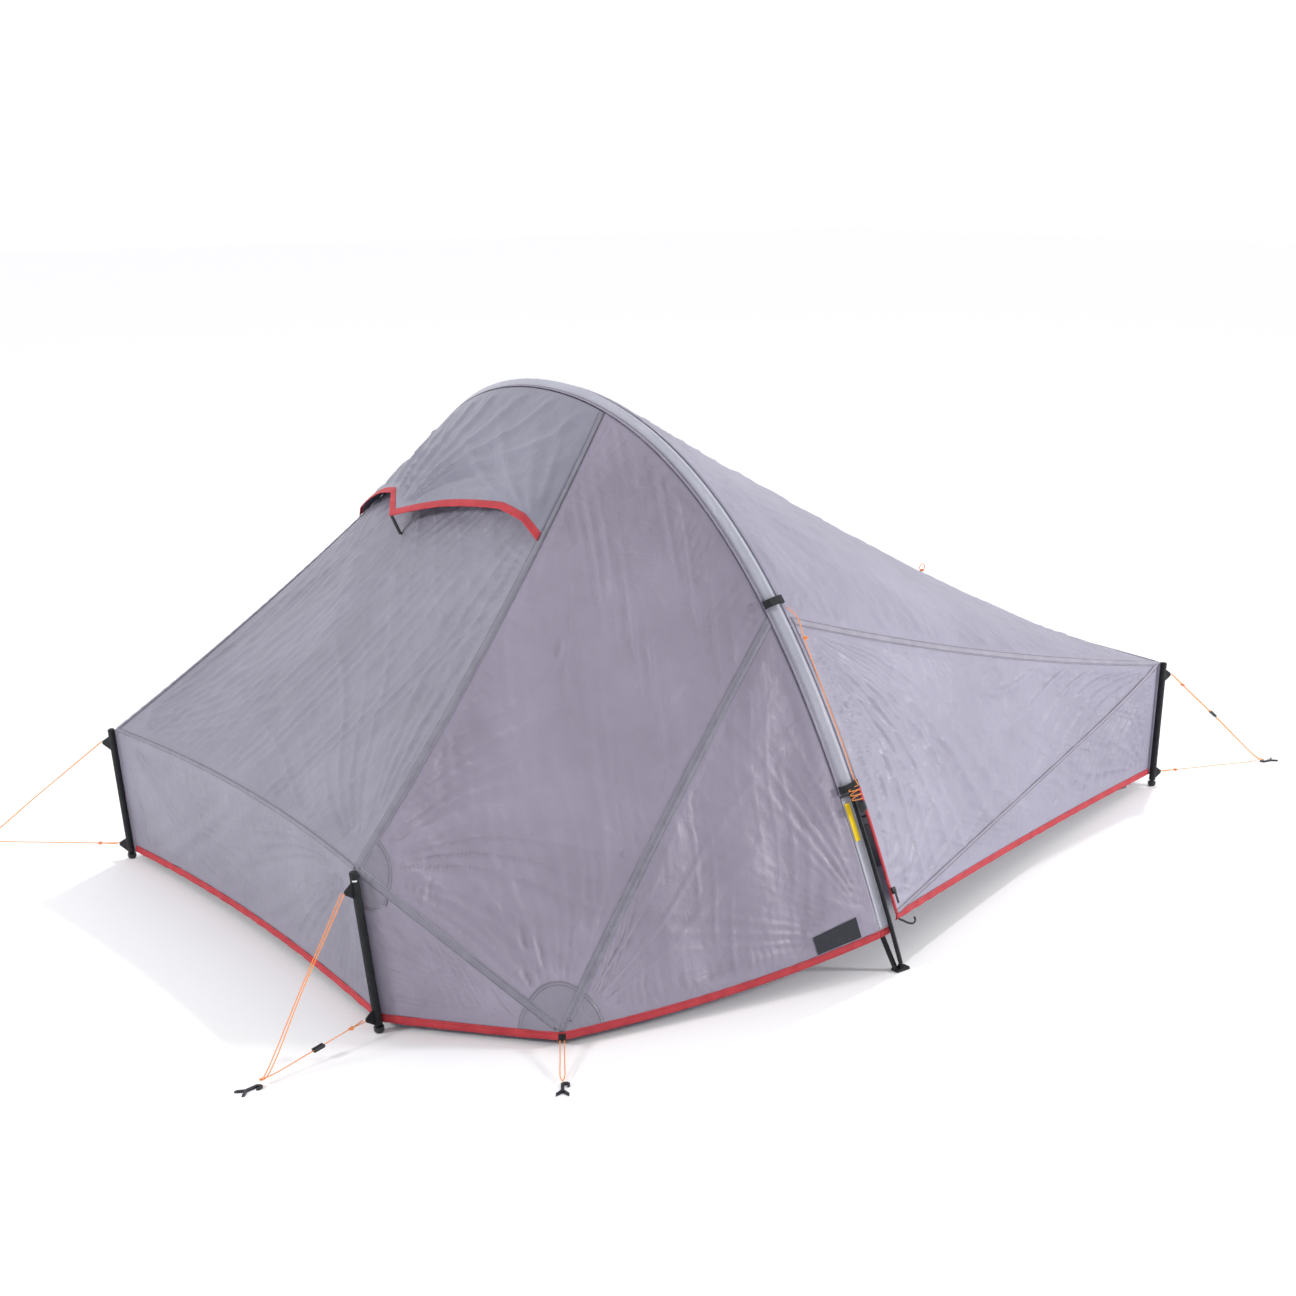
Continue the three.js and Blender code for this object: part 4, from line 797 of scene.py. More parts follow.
def add_flysheet():
    def roof_left_folds(p):
        height = pull(p, top_left["near"], 0.004, 0.7, 3, 40)
        height += pull(p, top_left["far"], 0.003, 0.6, 5, 34)
        height += pull(p, hoop_left(U_LEFT_NEAR), 0.0036, 0.9, 6, 56)
        height += pull(p, hoop_left(U_LEFT_FAR), 0.0026, 0.7, 7, 40)
        slanted = p[..., 1] + p[..., 0] * 0.25
        height += creases(slanted, p[..., 0], 0.003, 8, 0.04, 0.1)
        return height + seam_folds(p, 11, high=0.002, start=0.0045, end=0.003, reach=0.07)

    left = panel(
        "fly_roof_left_cloth", roof_left, ROOF, "roof_cloth", ["fly_roof_left"], LEFT_OUT,
        (190, 170), roof_left_folds, v=(VENT_BOTTOM, 1),
    )

    def roof_right_folds(p):
        height = pull(p, top_right["near"], 0.003, 0.8, 21, 30)
        height += pull(p, top_right["far"], 0.0026, 0.8, 22, 28)
        height += pull(p, hoop_right(-0.3), 0.0026, 0.9, 24, 36)
        slanted = p[..., 1] * 0.9 - p[..., 0] * 0.35
        height += creases(slanted, p[..., 0], 0.0018, 25, 0.05, 0.12)
        return height + seam_folds(p, 23, low=0.005, start=0.0036, end=0.003, reach=0.13)

    right = panel(
        "fly_roof_right_cloth", roof_right, LIGHT, "light_cloth", ["fly_roof_right"], RIGHT_OUT,
        (220, 190), roof_right_folds,
    )

    def side_main_folds(p):
        height = pull(p, top_left["near"], 0.0038, 0.7, 31, 34)
        height += pull(p, peg_out_top, 0.003, 0.75, 32, 30)
        down, up, left, right = edge_distances(p)
        height += pucker(right, lengths_along(p, 0), 0.004, 0.14, 33, 0.03, 0.08)
        across = p @ unit(vec(0.9, -0.45, 0))
        height += drape(across, p[..., 2], 0.0085, 35, 0.12, 0.28)
        height += creases(across, p[..., 2], 0.0026, 36, 0.04, 0.11)
        return height + seam_folds(p, 34, low=0.0042, high=0.004, start=0.003)

    main = panel(
        "fly_side_main_cloth", side_main, SIDE, "side_cloth", ["fly_side_main"], NEAR_OUT,
        (200, 180), side_main_folds,
    )

    def side_hoop_folds(p):
        height = pull(p, peg_out_top, 0.003, 0.7, 41, 32)
        height += pull(p, hem_hoop_near, 0.004, 0.45, 42, 50)
        across = p @ unit(vec(0.9, -0.45, 0))
        height += drape(across, p[..., 2], 0.0048, 45, 0.1, 0.22)
        height += creases(across, p[..., 2], 0.002, 46, 0.03, 0.08)
        return height + seam_folds(p, 43, low=0.004, start=0.004, end=0.0045)

    hoop_side = panel(
        "fly_side_hoop_cloth", side_hoop, SIDE, "side_cloth", ["fly_side_hoop"], NEAR_OUT,
        (150, 150), side_hoop_folds, v=(0, 0.995), calm=beside_label,
    )
    corner = panel(
        "fly_side_corner_cloth", side_corner, SIDE, "side_cloth", ["fly_side_corner"], NEAR_OUT,
        (80, 90), lambda p: seam_folds(p, 51, 0.005, 0, 0.003, 0.002, 0.13), v=(0, 0.99),
    )
    far_left = panel(
        "fly_side_far_left_cloth", side_far_left, ROOF, "roof_cloth", ["fly_side_far_left"],
        (-0.3, 1, 0.5), (90, 80),
        lambda p: pull(p, top_left["far"], 0.0034, 0.6, 61, 34) + seam_folds(p, 62, 0.002, 0.002, 0, 0.002),
    )
    far_right = panel(
        "fly_side_far_right_cloth", side_far_right, LIGHT, "light_cloth", ["fly_side_far_right"],
        (0.3, 1, 0.5), (100, 80),
        lambda p: pull(p, top_right["far"], 0.0034, 0.6, 71, 34) + seam_folds(p, 72, 0.002, 0.002, 0, 0.002),
    )

    def end_folds(p):
        ends = pull(p, p[-1, 0], 0.004, 0.4, 81, 60) + pull(p, p[-1, -1], 0.004, 0.4, 82, 60)
        slanted = p[..., 1] + p[..., 2] * 1.3
        ends += drape(slanted, p[..., 2], 0.0016, 84, 0.04, 0.12)
        return ends + seam_folds(p, 83, 0.0014, 0.002)

    end_l = panel(
        "fly_end_left_cloth", end_left, ROOF, "roof_cloth", ["fly_end_left"], (-1, 0, 0),
        (190, 70), end_folds,
    )
    end_r = panel(
        "fly_end_right_cloth", end_right, LIGHT, "light_cloth", ["fly_end_right"], (1, 0, 0),
        (190, 70), end_folds,
    )
    panels = (left, right, main, hoop_side, corner, far_left, far_right, end_l, end_r)
    for item in panels:
        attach(item, "tent")
    return panels


def bend_with_door(item):
    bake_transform(item)


def add_door_side():
    def folds(p):
        height = pull(p, top_right["near"], 0.006, 0.75, 91, 36)
        height += pull(p, hem_door_corner, 0.0034, 0.6, 92, 28)
        height += pull(p, foot_right["near"], 0.0026, 0.45, 93, 28)
        height += pull(p, hoop_right(-U_RIGHT), 0.006, 0.8, 95, 36)
        rows, columns = p.shape[:2]
        u, v = np.meshgrid(np.linspace(0, 1, columns), np.linspace(0, 1, rows))
        beside = from_crossing(u, v) * 0.35
        height += pucker(beside, (u + v) * 0.6, 0.003, 0.05, 96, 0.02, 0.07)
        slanted = p[..., 0] * 0.5 + p[..., 2] * 0.85
        height += creases(slanted, p[..., 0], 0.0016, 97, 0.05, 0.12)
        leaning = p[..., 0] * 0.9 + p[..., 2] * 0.35
        height += drape(leaning, p[..., 2], 0.0036, 98, 0.1, 0.24)
        return height + seam_folds(p, 94, low=0.002, high=0.003, start=0.005, reach=0.1)

    item = panel(
        "fly_side_right_cloth", side_right, LIGHT, "light_cloth", ["fly_side_right", "fly_door"],
        (0.3, -1, 0.5), (230, 180), folds, calm=beside_crossing_seam,
    )
    bend_with_door(item)
    return item


# ------------------------------------------------------------------ seams, hems and patches
def ribbon(name, rows, material, thick=0.0009, lift=0.0, outward=(0, 0, 1), offset=0.0):
    """A strip from rows of points: across it first, then along it."""
    points = np.stack(rows, axis=1)
    width = lengths_along(points, 1)
    width = width - width[:, -1:] / 2
    uv = np.stack([width, lengths_along(points, 0)], axis=-1)
    points = points + normals_of(points, outward) * lift
    item = link(name, grid_mesh(name, points, uv))
    thicken(item, thick, offset)
    item.data.materials.append(material)
    return item


def seam_strip(name, curve, side_a, side_b, outward, material, width=SEAM_WIDTH, zigzag=0.0):
    """The felled seam between two cloths. side_a and side_b give a point in each cloth beside t."""
    t = np.linspace(0.002, 0.998, 160)
    middle = curve(t)
    a = middle + unit(side_a(t) - middle) * width / 2
    b = middle + unit(side_b(t) - middle) * width / 2
    ripple = (0.0004 * waves(lengths_along(middle, 0), len(name), 4, 0.012, 0.03))[:, None]
    out = unit(np.array(outward, float))
    rows = [a, (a + middle) / 2 + out * 0.0004, middle + out * 0.0009, (b + middle) / 2 + out * 0.0004, b]
    rows = [row + out * ripple for row in rows]
    strip = ribbon(name, rows, material, 0.001, 0.0011, outward)
    lift = out * SEAM_TOP
    if zigzag:
        lines = [middle + lift]
    else:
        lines = [middle + (a - middle) * STITCH_ROW + lift, middle + (b - middle) * STITCH_ROW + lift]
    rows = [
        stitches(f"{name}_stitches_{k}", line, outward, THREAD, zigzag)
        for k, line in enumerate(lines)
    ]
    return [strip] + rows


def stitches(name, line, outward, material, zigzag=0.0, stitch=0.0034, gap=0.0018):
    """A row of thread stitches along a line that lies on the cloth."""
    line = np.asarray(line, float)
    place = lengths_along(line[:, None], 0)[:, 0]
    count = int(place[-1] / (stitch + gap))
    starts = np.arange(count) * (stitch + gap) + gap / 2
    spots = np.stack([np.interp(starts, place, line[:, k]) for k in range(3)], axis=-1)
    ends = np.stack([np.interp(starts + stitch, place, line[:, k]) for k in range(3)], axis=-1)
    out = unit(np.array(outward, float))
    along = unit(ends - spots)
    side = np.cross(along, out)
    slant = side * (zigzag * np.where(np.arange(count) % 2, 1, -1))[:, None]
    spots, ends = spots - slant, ends + slant
    width = side * THREAD_WIDTH / 2
    rise = out * THREAD_RISE
    corners = [spots - width, spots + width, ends + width, ends - width]
    tops = [spots * 0.75 + ends * 0.25 + rise, spots * 0.25 + ends * 0.75 + rise]
    vertices = np.stack(corners + tops, axis=1).reshape(-1, 3)
    pattern = [(0, 1, 4), (1, 2, 5, 4), (2, 3, 5), (3, 0, 4, 5), (3, 2, 1, 0)]
    faces = [tuple(6 * k + i for i in face) for k in range(count) for face in pattern]
    mesh = bpy.data.meshes.new(name)
    mesh.from_pydata(vertices.tolist(), [], faces)
    mesh.materials.append(material)
    item = link(name, mesh)
    return item


def add_seams():
    inside = 0.02
    strips = [
        seam_strip(
            "seam_left_near", SEAM["left_near"], lambda t: roof_left(inside, t),
            lambda t: side_main(1 - t, 1 - inside), (-0.6, -0.5, 0.8), SEAM_TAPE,
        ),
        seam_strip(
            "seam_left_far", SEAM["left_far"], lambda t: roof_left(1 - inside, t),
            lambda t: side_far_left(1 - t, 1 - inside), (-0.6, 0.5, 0.8), SEAM_TAPE,
        ),
        seam_strip(
            "seam_side", SEAM["side"], lambda t: side_main(1 - t, inside),
            lambda t: side_hoop(1 - inside, np.minimum(t, 0.97)), (-0.3, -1, 0.5), SEAM_TAPE,
            zigzag=0.0028,
        ),
        seam_strip(
            "seam_corner", SEAM["corner"], lambda t: side_main(inside, 1 - t),
            lambda t: side_corner(1 - inside, np.minimum(t, 0.97)), (-0.6, -1, 0.3), SEAM_TAPE,
        ),
        seam_strip(
            "seam_right_near", SEAM["right_near"], lambda t: roof_right(inside, t),
            lambda t: side_right(t, 1 - inside), (0.3, -0.7, 0.8), SEAM_LIGHT,
        ),
        seam_strip(
            "seam_right_far", SEAM["right_far"], lambda t: roof_right(1 - inside, t),
            lambda t: side_far_right(1 - t, 1 - inside), (0.3, 0.7, 0.8), SEAM_LIGHT,
        ),
        seam_strip(
            "seam_end_left", TOP_LEFT_EDGE, lambda t: roof_left(t, 1 - inside),
            lambda t: end_left(t, 1 - 3 * inside), (-1, 0, 0.8), SEAM_TAPE, 0.01,
        ),
        seam_strip(
            "seam_end_right", TOP_RIGHT_EDGE, lambda t: roof_right(t, 1 - inside),
            lambda t: end_right(t, 1 - 3 * inside), (1, 0, 0.8), SEAM_LIGHT, 0.01,
        ),
    ]
    for item in sum(strips, []):
        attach(item, "tent")
    crossing = seam_strip(
        "seam_door", on_crossing, lambda t: on_crossing(t, -0.01), lambda t: on_crossing(t, 0.01),
        (0.3, -1, 0.5), SEAM_LIGHT,
    )
    for item in crossing:
        bend_with_door(item)


def hem_strip(name, curve, outward, steps, material=RED, height=HEM_HEIGHT):
    """Red binding folded over the lower edge."""
    t = np.linspace(0, 1, steps)
    low = curve(t)
    out = unit(np.array(outward, float))
    wave = (0.0008 * waves(lengths_along(low, 0), steps, 4, 0.03, 0.09))[:, None] * out
    rows = [low + UP * height * share + wave + out * bulge for share, bulge in HEM_SECTION]
    strip = ribbon(name, rows, material, 0.0022, 0.0, outward)
    line = low + UP * height * 0.8 + wave + out * 0.0032
    return [strip, stitches(name + "_stitches", line, outward, RED_THREAD)]


def add_hems():
    outward = {
        "near_under_hoop": NEAR_OUT, "hoop_to_peg_out": NEAR_OUT, "peg_out_to_post": (-0.7, -1, 0),
        "left_end": (-1, 0, 0), "far_left": (0, 1, 0), "far_under_hoop": (0, 1, 0),
        "far_right": (0, 1, 0), "right_end": (1, 0, 0),
    }
    pieces = []
    for name, curve in HEM.items():
        steps = max(6, int(np.linalg.norm(curve(1.0) - curve(0.0)) / 0.008))
        pieces.append(hem_strip(f"hem_{name}", curve, outward[name], steps))
    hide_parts("hem_tape")
    for item in sum(pieces, []):
        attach(item, "tent")
    door = hem_strip("hem_door_tape", HEM_DOOR, (0.3, -1, 0), 160)
    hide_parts("hem_door")
    for item in door:
        bend_with_door(item)
    for name, low, high, material in (
        ("door_edge", -U_HEM_DOOR, -U_SLEEVE_END, RED),
        ("door_flap", -U_SLEEVE_END, hoop_at_y(DOOR_TOP), LIGHT),
    ):
        u = np.linspace(low, high, 60)
        rows = [hoop_edge(u, DOOR_SIDEWAYS + s, PANEL_DEPTH - d) for s, d in EDGE_SECTION]
        edge = ribbon(name, rows, material, 0.0016, 0.0, (0, -1, 0.3))
        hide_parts("door_edge_tape")
        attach(edge, "fly_door")


def patch(name, surface, corner, reach, outward, material=PATCH, full=False):
    """A reinforcement of doubled cloth round the corner of a panel, with a stitched rim."""
    u0, v0 = corner
    su, sv = (1 if u0 < 0.5 else -1), (1 if v0 < 0.5 else -1)
    length_u = np.linalg.norm(surface(1 - u0, v0) - surface(u0, v0))
    length_v = np.linalg.norm(surface(u0, 1 - v0) - surface(u0, v0))
    if full:  # the corner is the tip of a triangle
        uu, share = np.meshgrid(np.linspace(0, 1, 30), np.linspace(0.02, 1, 14))
        length = np.linalg.norm(surface(uu[0], 0 * uu[0] + 1 - v0) - surface(uu[0], 0 * uu[0] + v0), axis=-1)
        points = surface(uu, v0 + sv * share * reach / length)
    else:
        angle, share = np.meshgrid(np.linspace(0, math.pi / 2, 30), np.linspace(0.02, 1, 14))
        points = surface(
            u0 + su * share * reach * np.cos(angle) / length_u,
            v0 + sv * share * reach * np.sin(angle) / length_v,
        )
    normal = normals_of(points, outward)
    item = link(name, grid_mesh(name, points + normal * 0.0007, cloth_uv(points)))
    thicken(item, 0.0009)
    rim = points[-1]
    inward = unit(points[-2] - rim)
    rows = [
        stitches(f"{name}_stitches_{k}", rim + inward * w + normal[-1] * 0.0016, outward, THREAD)
        for k, w in enumerate((0.002, 0.0075))
    ]
    for made in [item] + rows:
        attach(made, "tent")
    item.data.materials.append(material)


def add_patches():
    patch("patch_left_side", side_main, (0, 1), PATCH_RADIUS, NEAR_OUT)
    patch("patch_left_corner", side_corner, (1, 0), PATCH_RADIUS, NEAR_OUT)
    patch("patch_peg_main", side_main, (0, 0), PEG_PATCH_RADIUS, NEAR_OUT)
    patch("patch_peg_hoop", side_hoop, (0, 1), PEG_PATCH_RADIUS, NEAR_OUT, full=True)
    patch("patch_peg_corner", side_corner, (0, 1), PEG_PATCH_RADIUS, NEAR_OUT, full=True)
    patch("patch_far_side", side_far_left, (0, 1), PATCH_RADIUS, (-0.3, 1, 0.5))
    patch("patch_far_right", side_far_right, (0, 1), PATCH_RADIUS, (0.3, 1, 0.5))


# ------------------------------------------------------------------ vent


def lip_at(u, column):
    table = np.array(LIP)
    return np.interp(u, table[:, 0], table[:, column])


def roof_normal(u, v):
    step = 0.01
    along = roof_left(np.minimum(u + step, 1), v) - roof_left(np.maximum(u - step, 0), v)
    down = roof_left(u, v + step) - roof_left(u, v)
    normal = unit(np.cross(along, down))
    return np.where(normal[..., 2:] < 0, -normal, normal)


def hood(u, v):
    """v is 0 at the hoop and 1 at the lip."""
    u, v = np.broadcast_arrays(np.asarray(u, float), np.asarray(v, float))
    down = HOOD_TOP + (lip_at(u, 1) - HOOD_TOP) * v
    inside = np.clip(np.minimum(u, 1 - u) / 0.05, 0, 1) * np.clip(v / 0.12, 0, 1)
    height = HOOD_SEWN + (HOOD_REST - HOOD_SEWN) * inside + lip_at(u, 2) * v**1.5 * np.sqrt(inside)
    return roof_left(u, down) + roof_normal(u, down) * height[..., None]


def add_vent():
    def hood_folds(p):
        beak = hood(0.53, 1.0)
        height = pull(p, beak, 0.0085, 0.5, 101, 20)
        height += pull(p, hood(0.02, 0.98), 0.006, 0.4, 102, 22)
        return height + seam_folds(p, 103, low=0.003, start=0.002, end=0.002)

    item = panel(
        "vent_hood_cloth", lambda u, v: hood(u, v), HOOD, "roof_cloth", ["vent_hood"], LEFT_OUT,
        (110, 60), hood_folds, u=(0.003, 0.997), v=(0, 0.965), crinkle=0.0008,
    )
    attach(item, "tent")
    u = np.linspace(0.003, 0.997, 140)
    rows = [hood(u, share) + roof_normal(u, 0.3) * lift for share, lift in LIP_SECTION]
    trim = ribbon("vent_lip", rows, RED, 0.002, 0.0, LEFT_OUT)
    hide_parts("vent_hood_trim")
    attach(trim, "tent")
    net = panel(
        "vent_net", roof_left, NET, "vent_netting", ["vent_mesh"], LEFT_OUT, (40, 16),
        v=(0, VENT_BOTTOM), crinkle=0.0002,
    )
    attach(net, "tent")


# ------------------------------------------------------------------ pole sleeve
def sleeve_depth(sideways):
    """The sleeve's outer face: a narrow ridge over the pole between two flat borders."""
    return SLEEVE_BASE - SLEEVE_RIDGE * np.exp(-((sideways / SLEEVE_RIDGE_WIDTH) ** 2))


def sleeve_section(u):
    """Rings round the sleeve: over the ridge and back along its flat inner face."""
    over = np.linspace(-SLEEVE_HALF_BASE, SLEEVE_HALF_BASE, 26)
    under = over[-2:0:-2]
    sideways = np.concatenate([over, under])
    depth = np.concatenate([sleeve_depth(over), 0 * under + SLEEVE_BASE + 0.0004])
    u = np.asarray(u, float)[:, None]
    return hoop_edge(u + 0 * sideways, sideways + 0 * u, depth + 0 * u)


SLEEVE_HALF_BASE = PANEL_SIDEWAYS - 0.0004


def add_sleeve():
    u = np.linspace(-U_SLEEVE_END, U_SLEEVE_END, 420)
    points = sleeve_section(u)
    along = lengths_along(points, 0)
    middle = points.mean(axis=1, keepdims=True)
    drift = along[:, :1] + np.arange(points.shape[1]) * 0.01
    swell = 0.0005 * waves(along, 201, 5, 0.02, 0.07) * waves(drift, 202, 3, 0.05, 0.2)
    points = points + unit(points - middle) * swell[..., None]
    around = np.linspace(0, 0.11, points.shape[1])[None, :] + 0 * along
    mesh = grid_mesh("pole_sleeve_cloth", points, np.stack([around, along], -1), True)
    item = link("pole_sleeve_cloth", mesh)
    thicken(item, 0.0009, -1)
    finish_piece(item, SLEEVE, "tent")
    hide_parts("pole_sleeve")
    for word, side in (("left", -1), ("right", 1)):
        sideways = [side * share for share in SLEEVE_BORDER]
        rows = [hoop_edge(u, s, sleeve_depth(s) - 0.001) for s in sideways]
        cloth = SIDE if word == "left" else LIGHT
        edge = ribbon(f"sleeve_edge_{word}", rows, cloth, 0.001, 0.0, (0, -0.2, 1))
        line = hoop_edge(u, side * SLEEVE_STITCH, sleeve_depth(SLEEVE_STITCH) - 0.0018)
        sewn = stitches(f"sleeve_stitches_{word}", line, (0, -0.3, 1), THREAD)
        for made in (edge, sewn):
            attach(made, "tent")
    for word, side, inner in (("near", NEAR, TAIL_EDGE), ("far", FAR, SLEEVE_WIDTH / 2)):
        def tail(a, v, side=side, inner=inner):
            along = side * (U_SLEEVE_END + 0.004 + (U_HEM - U_SLEEVE_END - 0.005) * v)
            return hoop_edge(along, -SLEEVE_WIDTH / 2 + (inner + SLEEVE_WIDTH / 2) * a, PANEL_DEPTH)

        cloth = panel(
            f"tail_{word}_cloth", tail, SLEEVE, "sleeve_cloth", [f"sleeve_tail_{word}"],
            (0, side, 0.3), (12, 40), lambda p: seam_folds(p, 211, start=0.0008, end=0.0008),
        )
        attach(cloth, "tent")


def add_post_flaps():
    """Webbing that joins the ends of the cloth to the posts, and the marks near the post tops."""
    ends = {
        "left": (LEFT_END, foot_left, top_left, PATCH, "side_cloth"),
        "right": (RIGHT_END, foot_right, top_right, LIGHT, "light_cloth"),
    }
    for end_word, (end_x, foot, top, cloth, slot) in ends.items():
        for word, side in SIDES.items():
            outward = unit(vec(math.copysign(1, end_x), side * 0.9, 0))
            t = np.linspace(0, 1, 24)
            inner = post_edge(foot[word] - DROP, top[word])(t)
            rows = [inner + outward * share for share in (-0.004, 0.0, 0.003, 0.0055)]
            name = f"post_flap_{end_word}_{word}"
            flap = ribbon(name, rows, cloth, 0.0012, 0, (side, 0, 0))
            toward = unit(vec(math.copysign(0.5, end_x), side, 0))
            across = np.cross(toward, UP) * 0.0042
            middle = post_at(end_x, side, MARK_HEIGHT) + toward * (POST_SLEEVE_RADIUS + 0.0006)
            t = np.linspace(-1, 1, 5)[:, None]
            marks = [middle + across * t + UP * rise - toward * 0.0012 * t**2 for rise in (-0.0016, 0.0016)]
            name = f"post_mark_{end_word}_{word}"
            mark = ribbon(name, marks, REFLECTOR, 0.0004, 0, toward)
            for made in (flap, mark):
                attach(made, "tent")


# ------------------------------------------------------------------ CAD nodes that stay
def dress(node, material, bevel=0.0):
    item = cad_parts[node]
    item.data.materials.clear()
    item.data.materials.append(material)
    if bevel:
        modifier = item.modifiers.new("soft_edges", "BEVEL")
        modifier.width = bevel
        modifier.segments = 2
        modifier.limit_method = "ANGLE"
        modifier.angle_limit = math.radians(40)


def dress_nodes():
    for k in range(1, 5):
        dress(f"pole_section_{k}", POLE_METAL)
    for corner in CORNERS:
        dress(f"post_sleeve_{corner}", BLACK, 0.0006)
        dress(f"post_rod_{corner}", PLASTIC, 0.0006)
        dress(f"peg_{corner}", PEG_METAL, 0.0008)
    dress("peg_side", PEG_METAL, 0.0008)
    for word in SIDES:
        dress(f"pole_foot_{word}", BLACK, 0.0008)
        dress(f"sleeve_collar_{word}", BLACK)
    for node in ("guy_strap_near", "vent_stay"):
        dress(node, BLACK, 0.0004)
    for node in ("tensioner_left_near", "tensioner_right_near", "cord_lock", "door_slider"):
        dress(node, PLASTIC, 0.0006)
    dress("pull_tab_near", YELLOW, 0.0003)
    dress("shock_cord", ELASTIC)
    dress("label_patch", LABEL, 0.0003)
    dress("tub_floor", TUB)
    dress("inner_canopy", INNER)
    dress("inner_door", INNER)


# ------------------------------------------------------------------ guylines
POSTS = {
    "left_near": (LEFT_END, NEAR, (-1.258, -0.624, 0)),
    "left_far": (LEFT_END, FAR, (-1.228, 0.895, 0)),
    "right_near": (RIGHT_END, NEAR, (1.740, -0.635, 0)),
    "right_far": (RIGHT_END, FAR, (1.740, 0.635, 0)),
}


def smooth_route(points, per_span=10):
    """A centripetal curve through the points, as a dense line."""
    p = np.array(points, float)
    p = np.vstack([2 * p[0] - p[1], p, 2 * p[-1] - p[-2]])
    line = []
    for k in range(1, len(p) - 2):
        p0, p1, p2, p3 = p[k - 1 : k + 3]
        d = [max(np.linalg.norm(b - a) ** 0.5, 1e-4) for a, b in ((p0, p1), (p1, p2), (p2, p3))]
        m1 = (p1 - p0) / d[0] - (p2 - p0) / (d[0] + d[1]) + (p2 - p1) / d[1]
        m2 = (p2 - p1) / d[1] - (p3 - p1) / (d[1] + d[2]) + (p3 - p2) / d[2]
        m1, m2 = m1 * d[1], m2 * d[1]
        for t in np.arange(per_span) / per_span:
            h = (2 * t**3 - 3 * t**2 + 1, t**3 - 2 * t**2 + t, -2 * t**3 + 3 * t**2, t**3 - t**2)
            line.append(h[0] * p1 + h[1] * m1 + h[2] * p2 + h[3] * m2)
    line.append(p[-2])
    return np.array(line)


def cord_curve(name, line, material=CORD, diameter=CORD_DIAMETER, cyclic=False):
    curve = bpy.data.curves.new(name, "CURVE")
    curve.dimensions = "3D"
    curve.bevel_depth = diameter / 2
    curve.bevel_resolution = 3
    curve.use_fill_caps = True
    spline = curve.splines.new("POLY")
    spline.points.add(len(line) - 1)
    for item, place in zip(spline.points, line):
        item.co = (*place, 1)
    spline.use_cyclic_u = cyclic
    item = link(name, curve)
    return finish_piece(item, material, "tent")


def tube(name, line, radius, material, body, sides=10):
    """A solid rod bent along a line."""
    line = np.asarray(line, float)
    along = unit(np.gradient(line, axis=0))
    side = unit(np.cross(along, UP + 0.01))
    other = np.cross(along, side)
    angle = np.linspace(0, 2 * math.pi, sides, endpoint=False)
    taper = np.sqrt(np.clip(np.minimum(np.arange(len(line)), np.arange(len(line))[::-1]) / 2, 0.1, 1))
    ring = np.cos(angle)[None, :, None] * side[:, None] + np.sin(angle)[None, :, None] * other[:, None]
    points = line[:, None] + ring * (radius * taper)[:, None, None]
    flat = points.reshape(-1, 3)
    faces = []
    for row in range(len(line) - 1):
        for k in range(sides):
            a, b = row * sides + k, row * sides + (k + 1) % sides
            faces.append((a, b, b + sides, a + sides))
    faces.append(tuple(range(sides))[::-1])
    faces.append(tuple(range(len(flat) - sides, len(flat))))
    mesh = bpy.data.meshes.new(name)
    mesh.from_pydata(flat.tolist(), [], faces)
    mesh.polygons.foreach_set("use_smooth", np.ones(len(faces), bool))
    return finish_piece(link(name, mesh), material, body)


def add_door_hook():
    """The hook that holds the door's corner at the hoop's foot."""
    start = hem_door_corner + vec(0.002, -0.004, 0.004)
    shape = (
        (0, 0, 0), (0.008, -0.006, -0.004), (0.018, -0.012, -0.01), (0.028, -0.016, -0.012),
        (0.036, -0.014, -0.008), (0.038, -0.008, -0.002),
    )
    line = smooth_route([start + np.array(step) for step in shape], 6)
    tube("door_hook", line, 0.0022, PLASTIC, "fly_door")


def knot(name, place, size=0.0017):
    """A small overhand knot."""
    t = np.linspace(0, 2 * math.pi, 40, endpoint=False)
    x = np.sin(t) + 2 * np.sin(2 * t)
    y = np.cos(t) - 2 * np.cos(2 * t)
    z = -1.2 * np.sin(3 * t)
    line = np.stack([x, y, z], axis=-1) * size + np.array(place, float)
    return cord_curve(name, line, cyclic=True)


def declare(item, points_line, with_pieces=()):
    length = float(lengths_along(points_line[:, None], 0)[-1, 0])


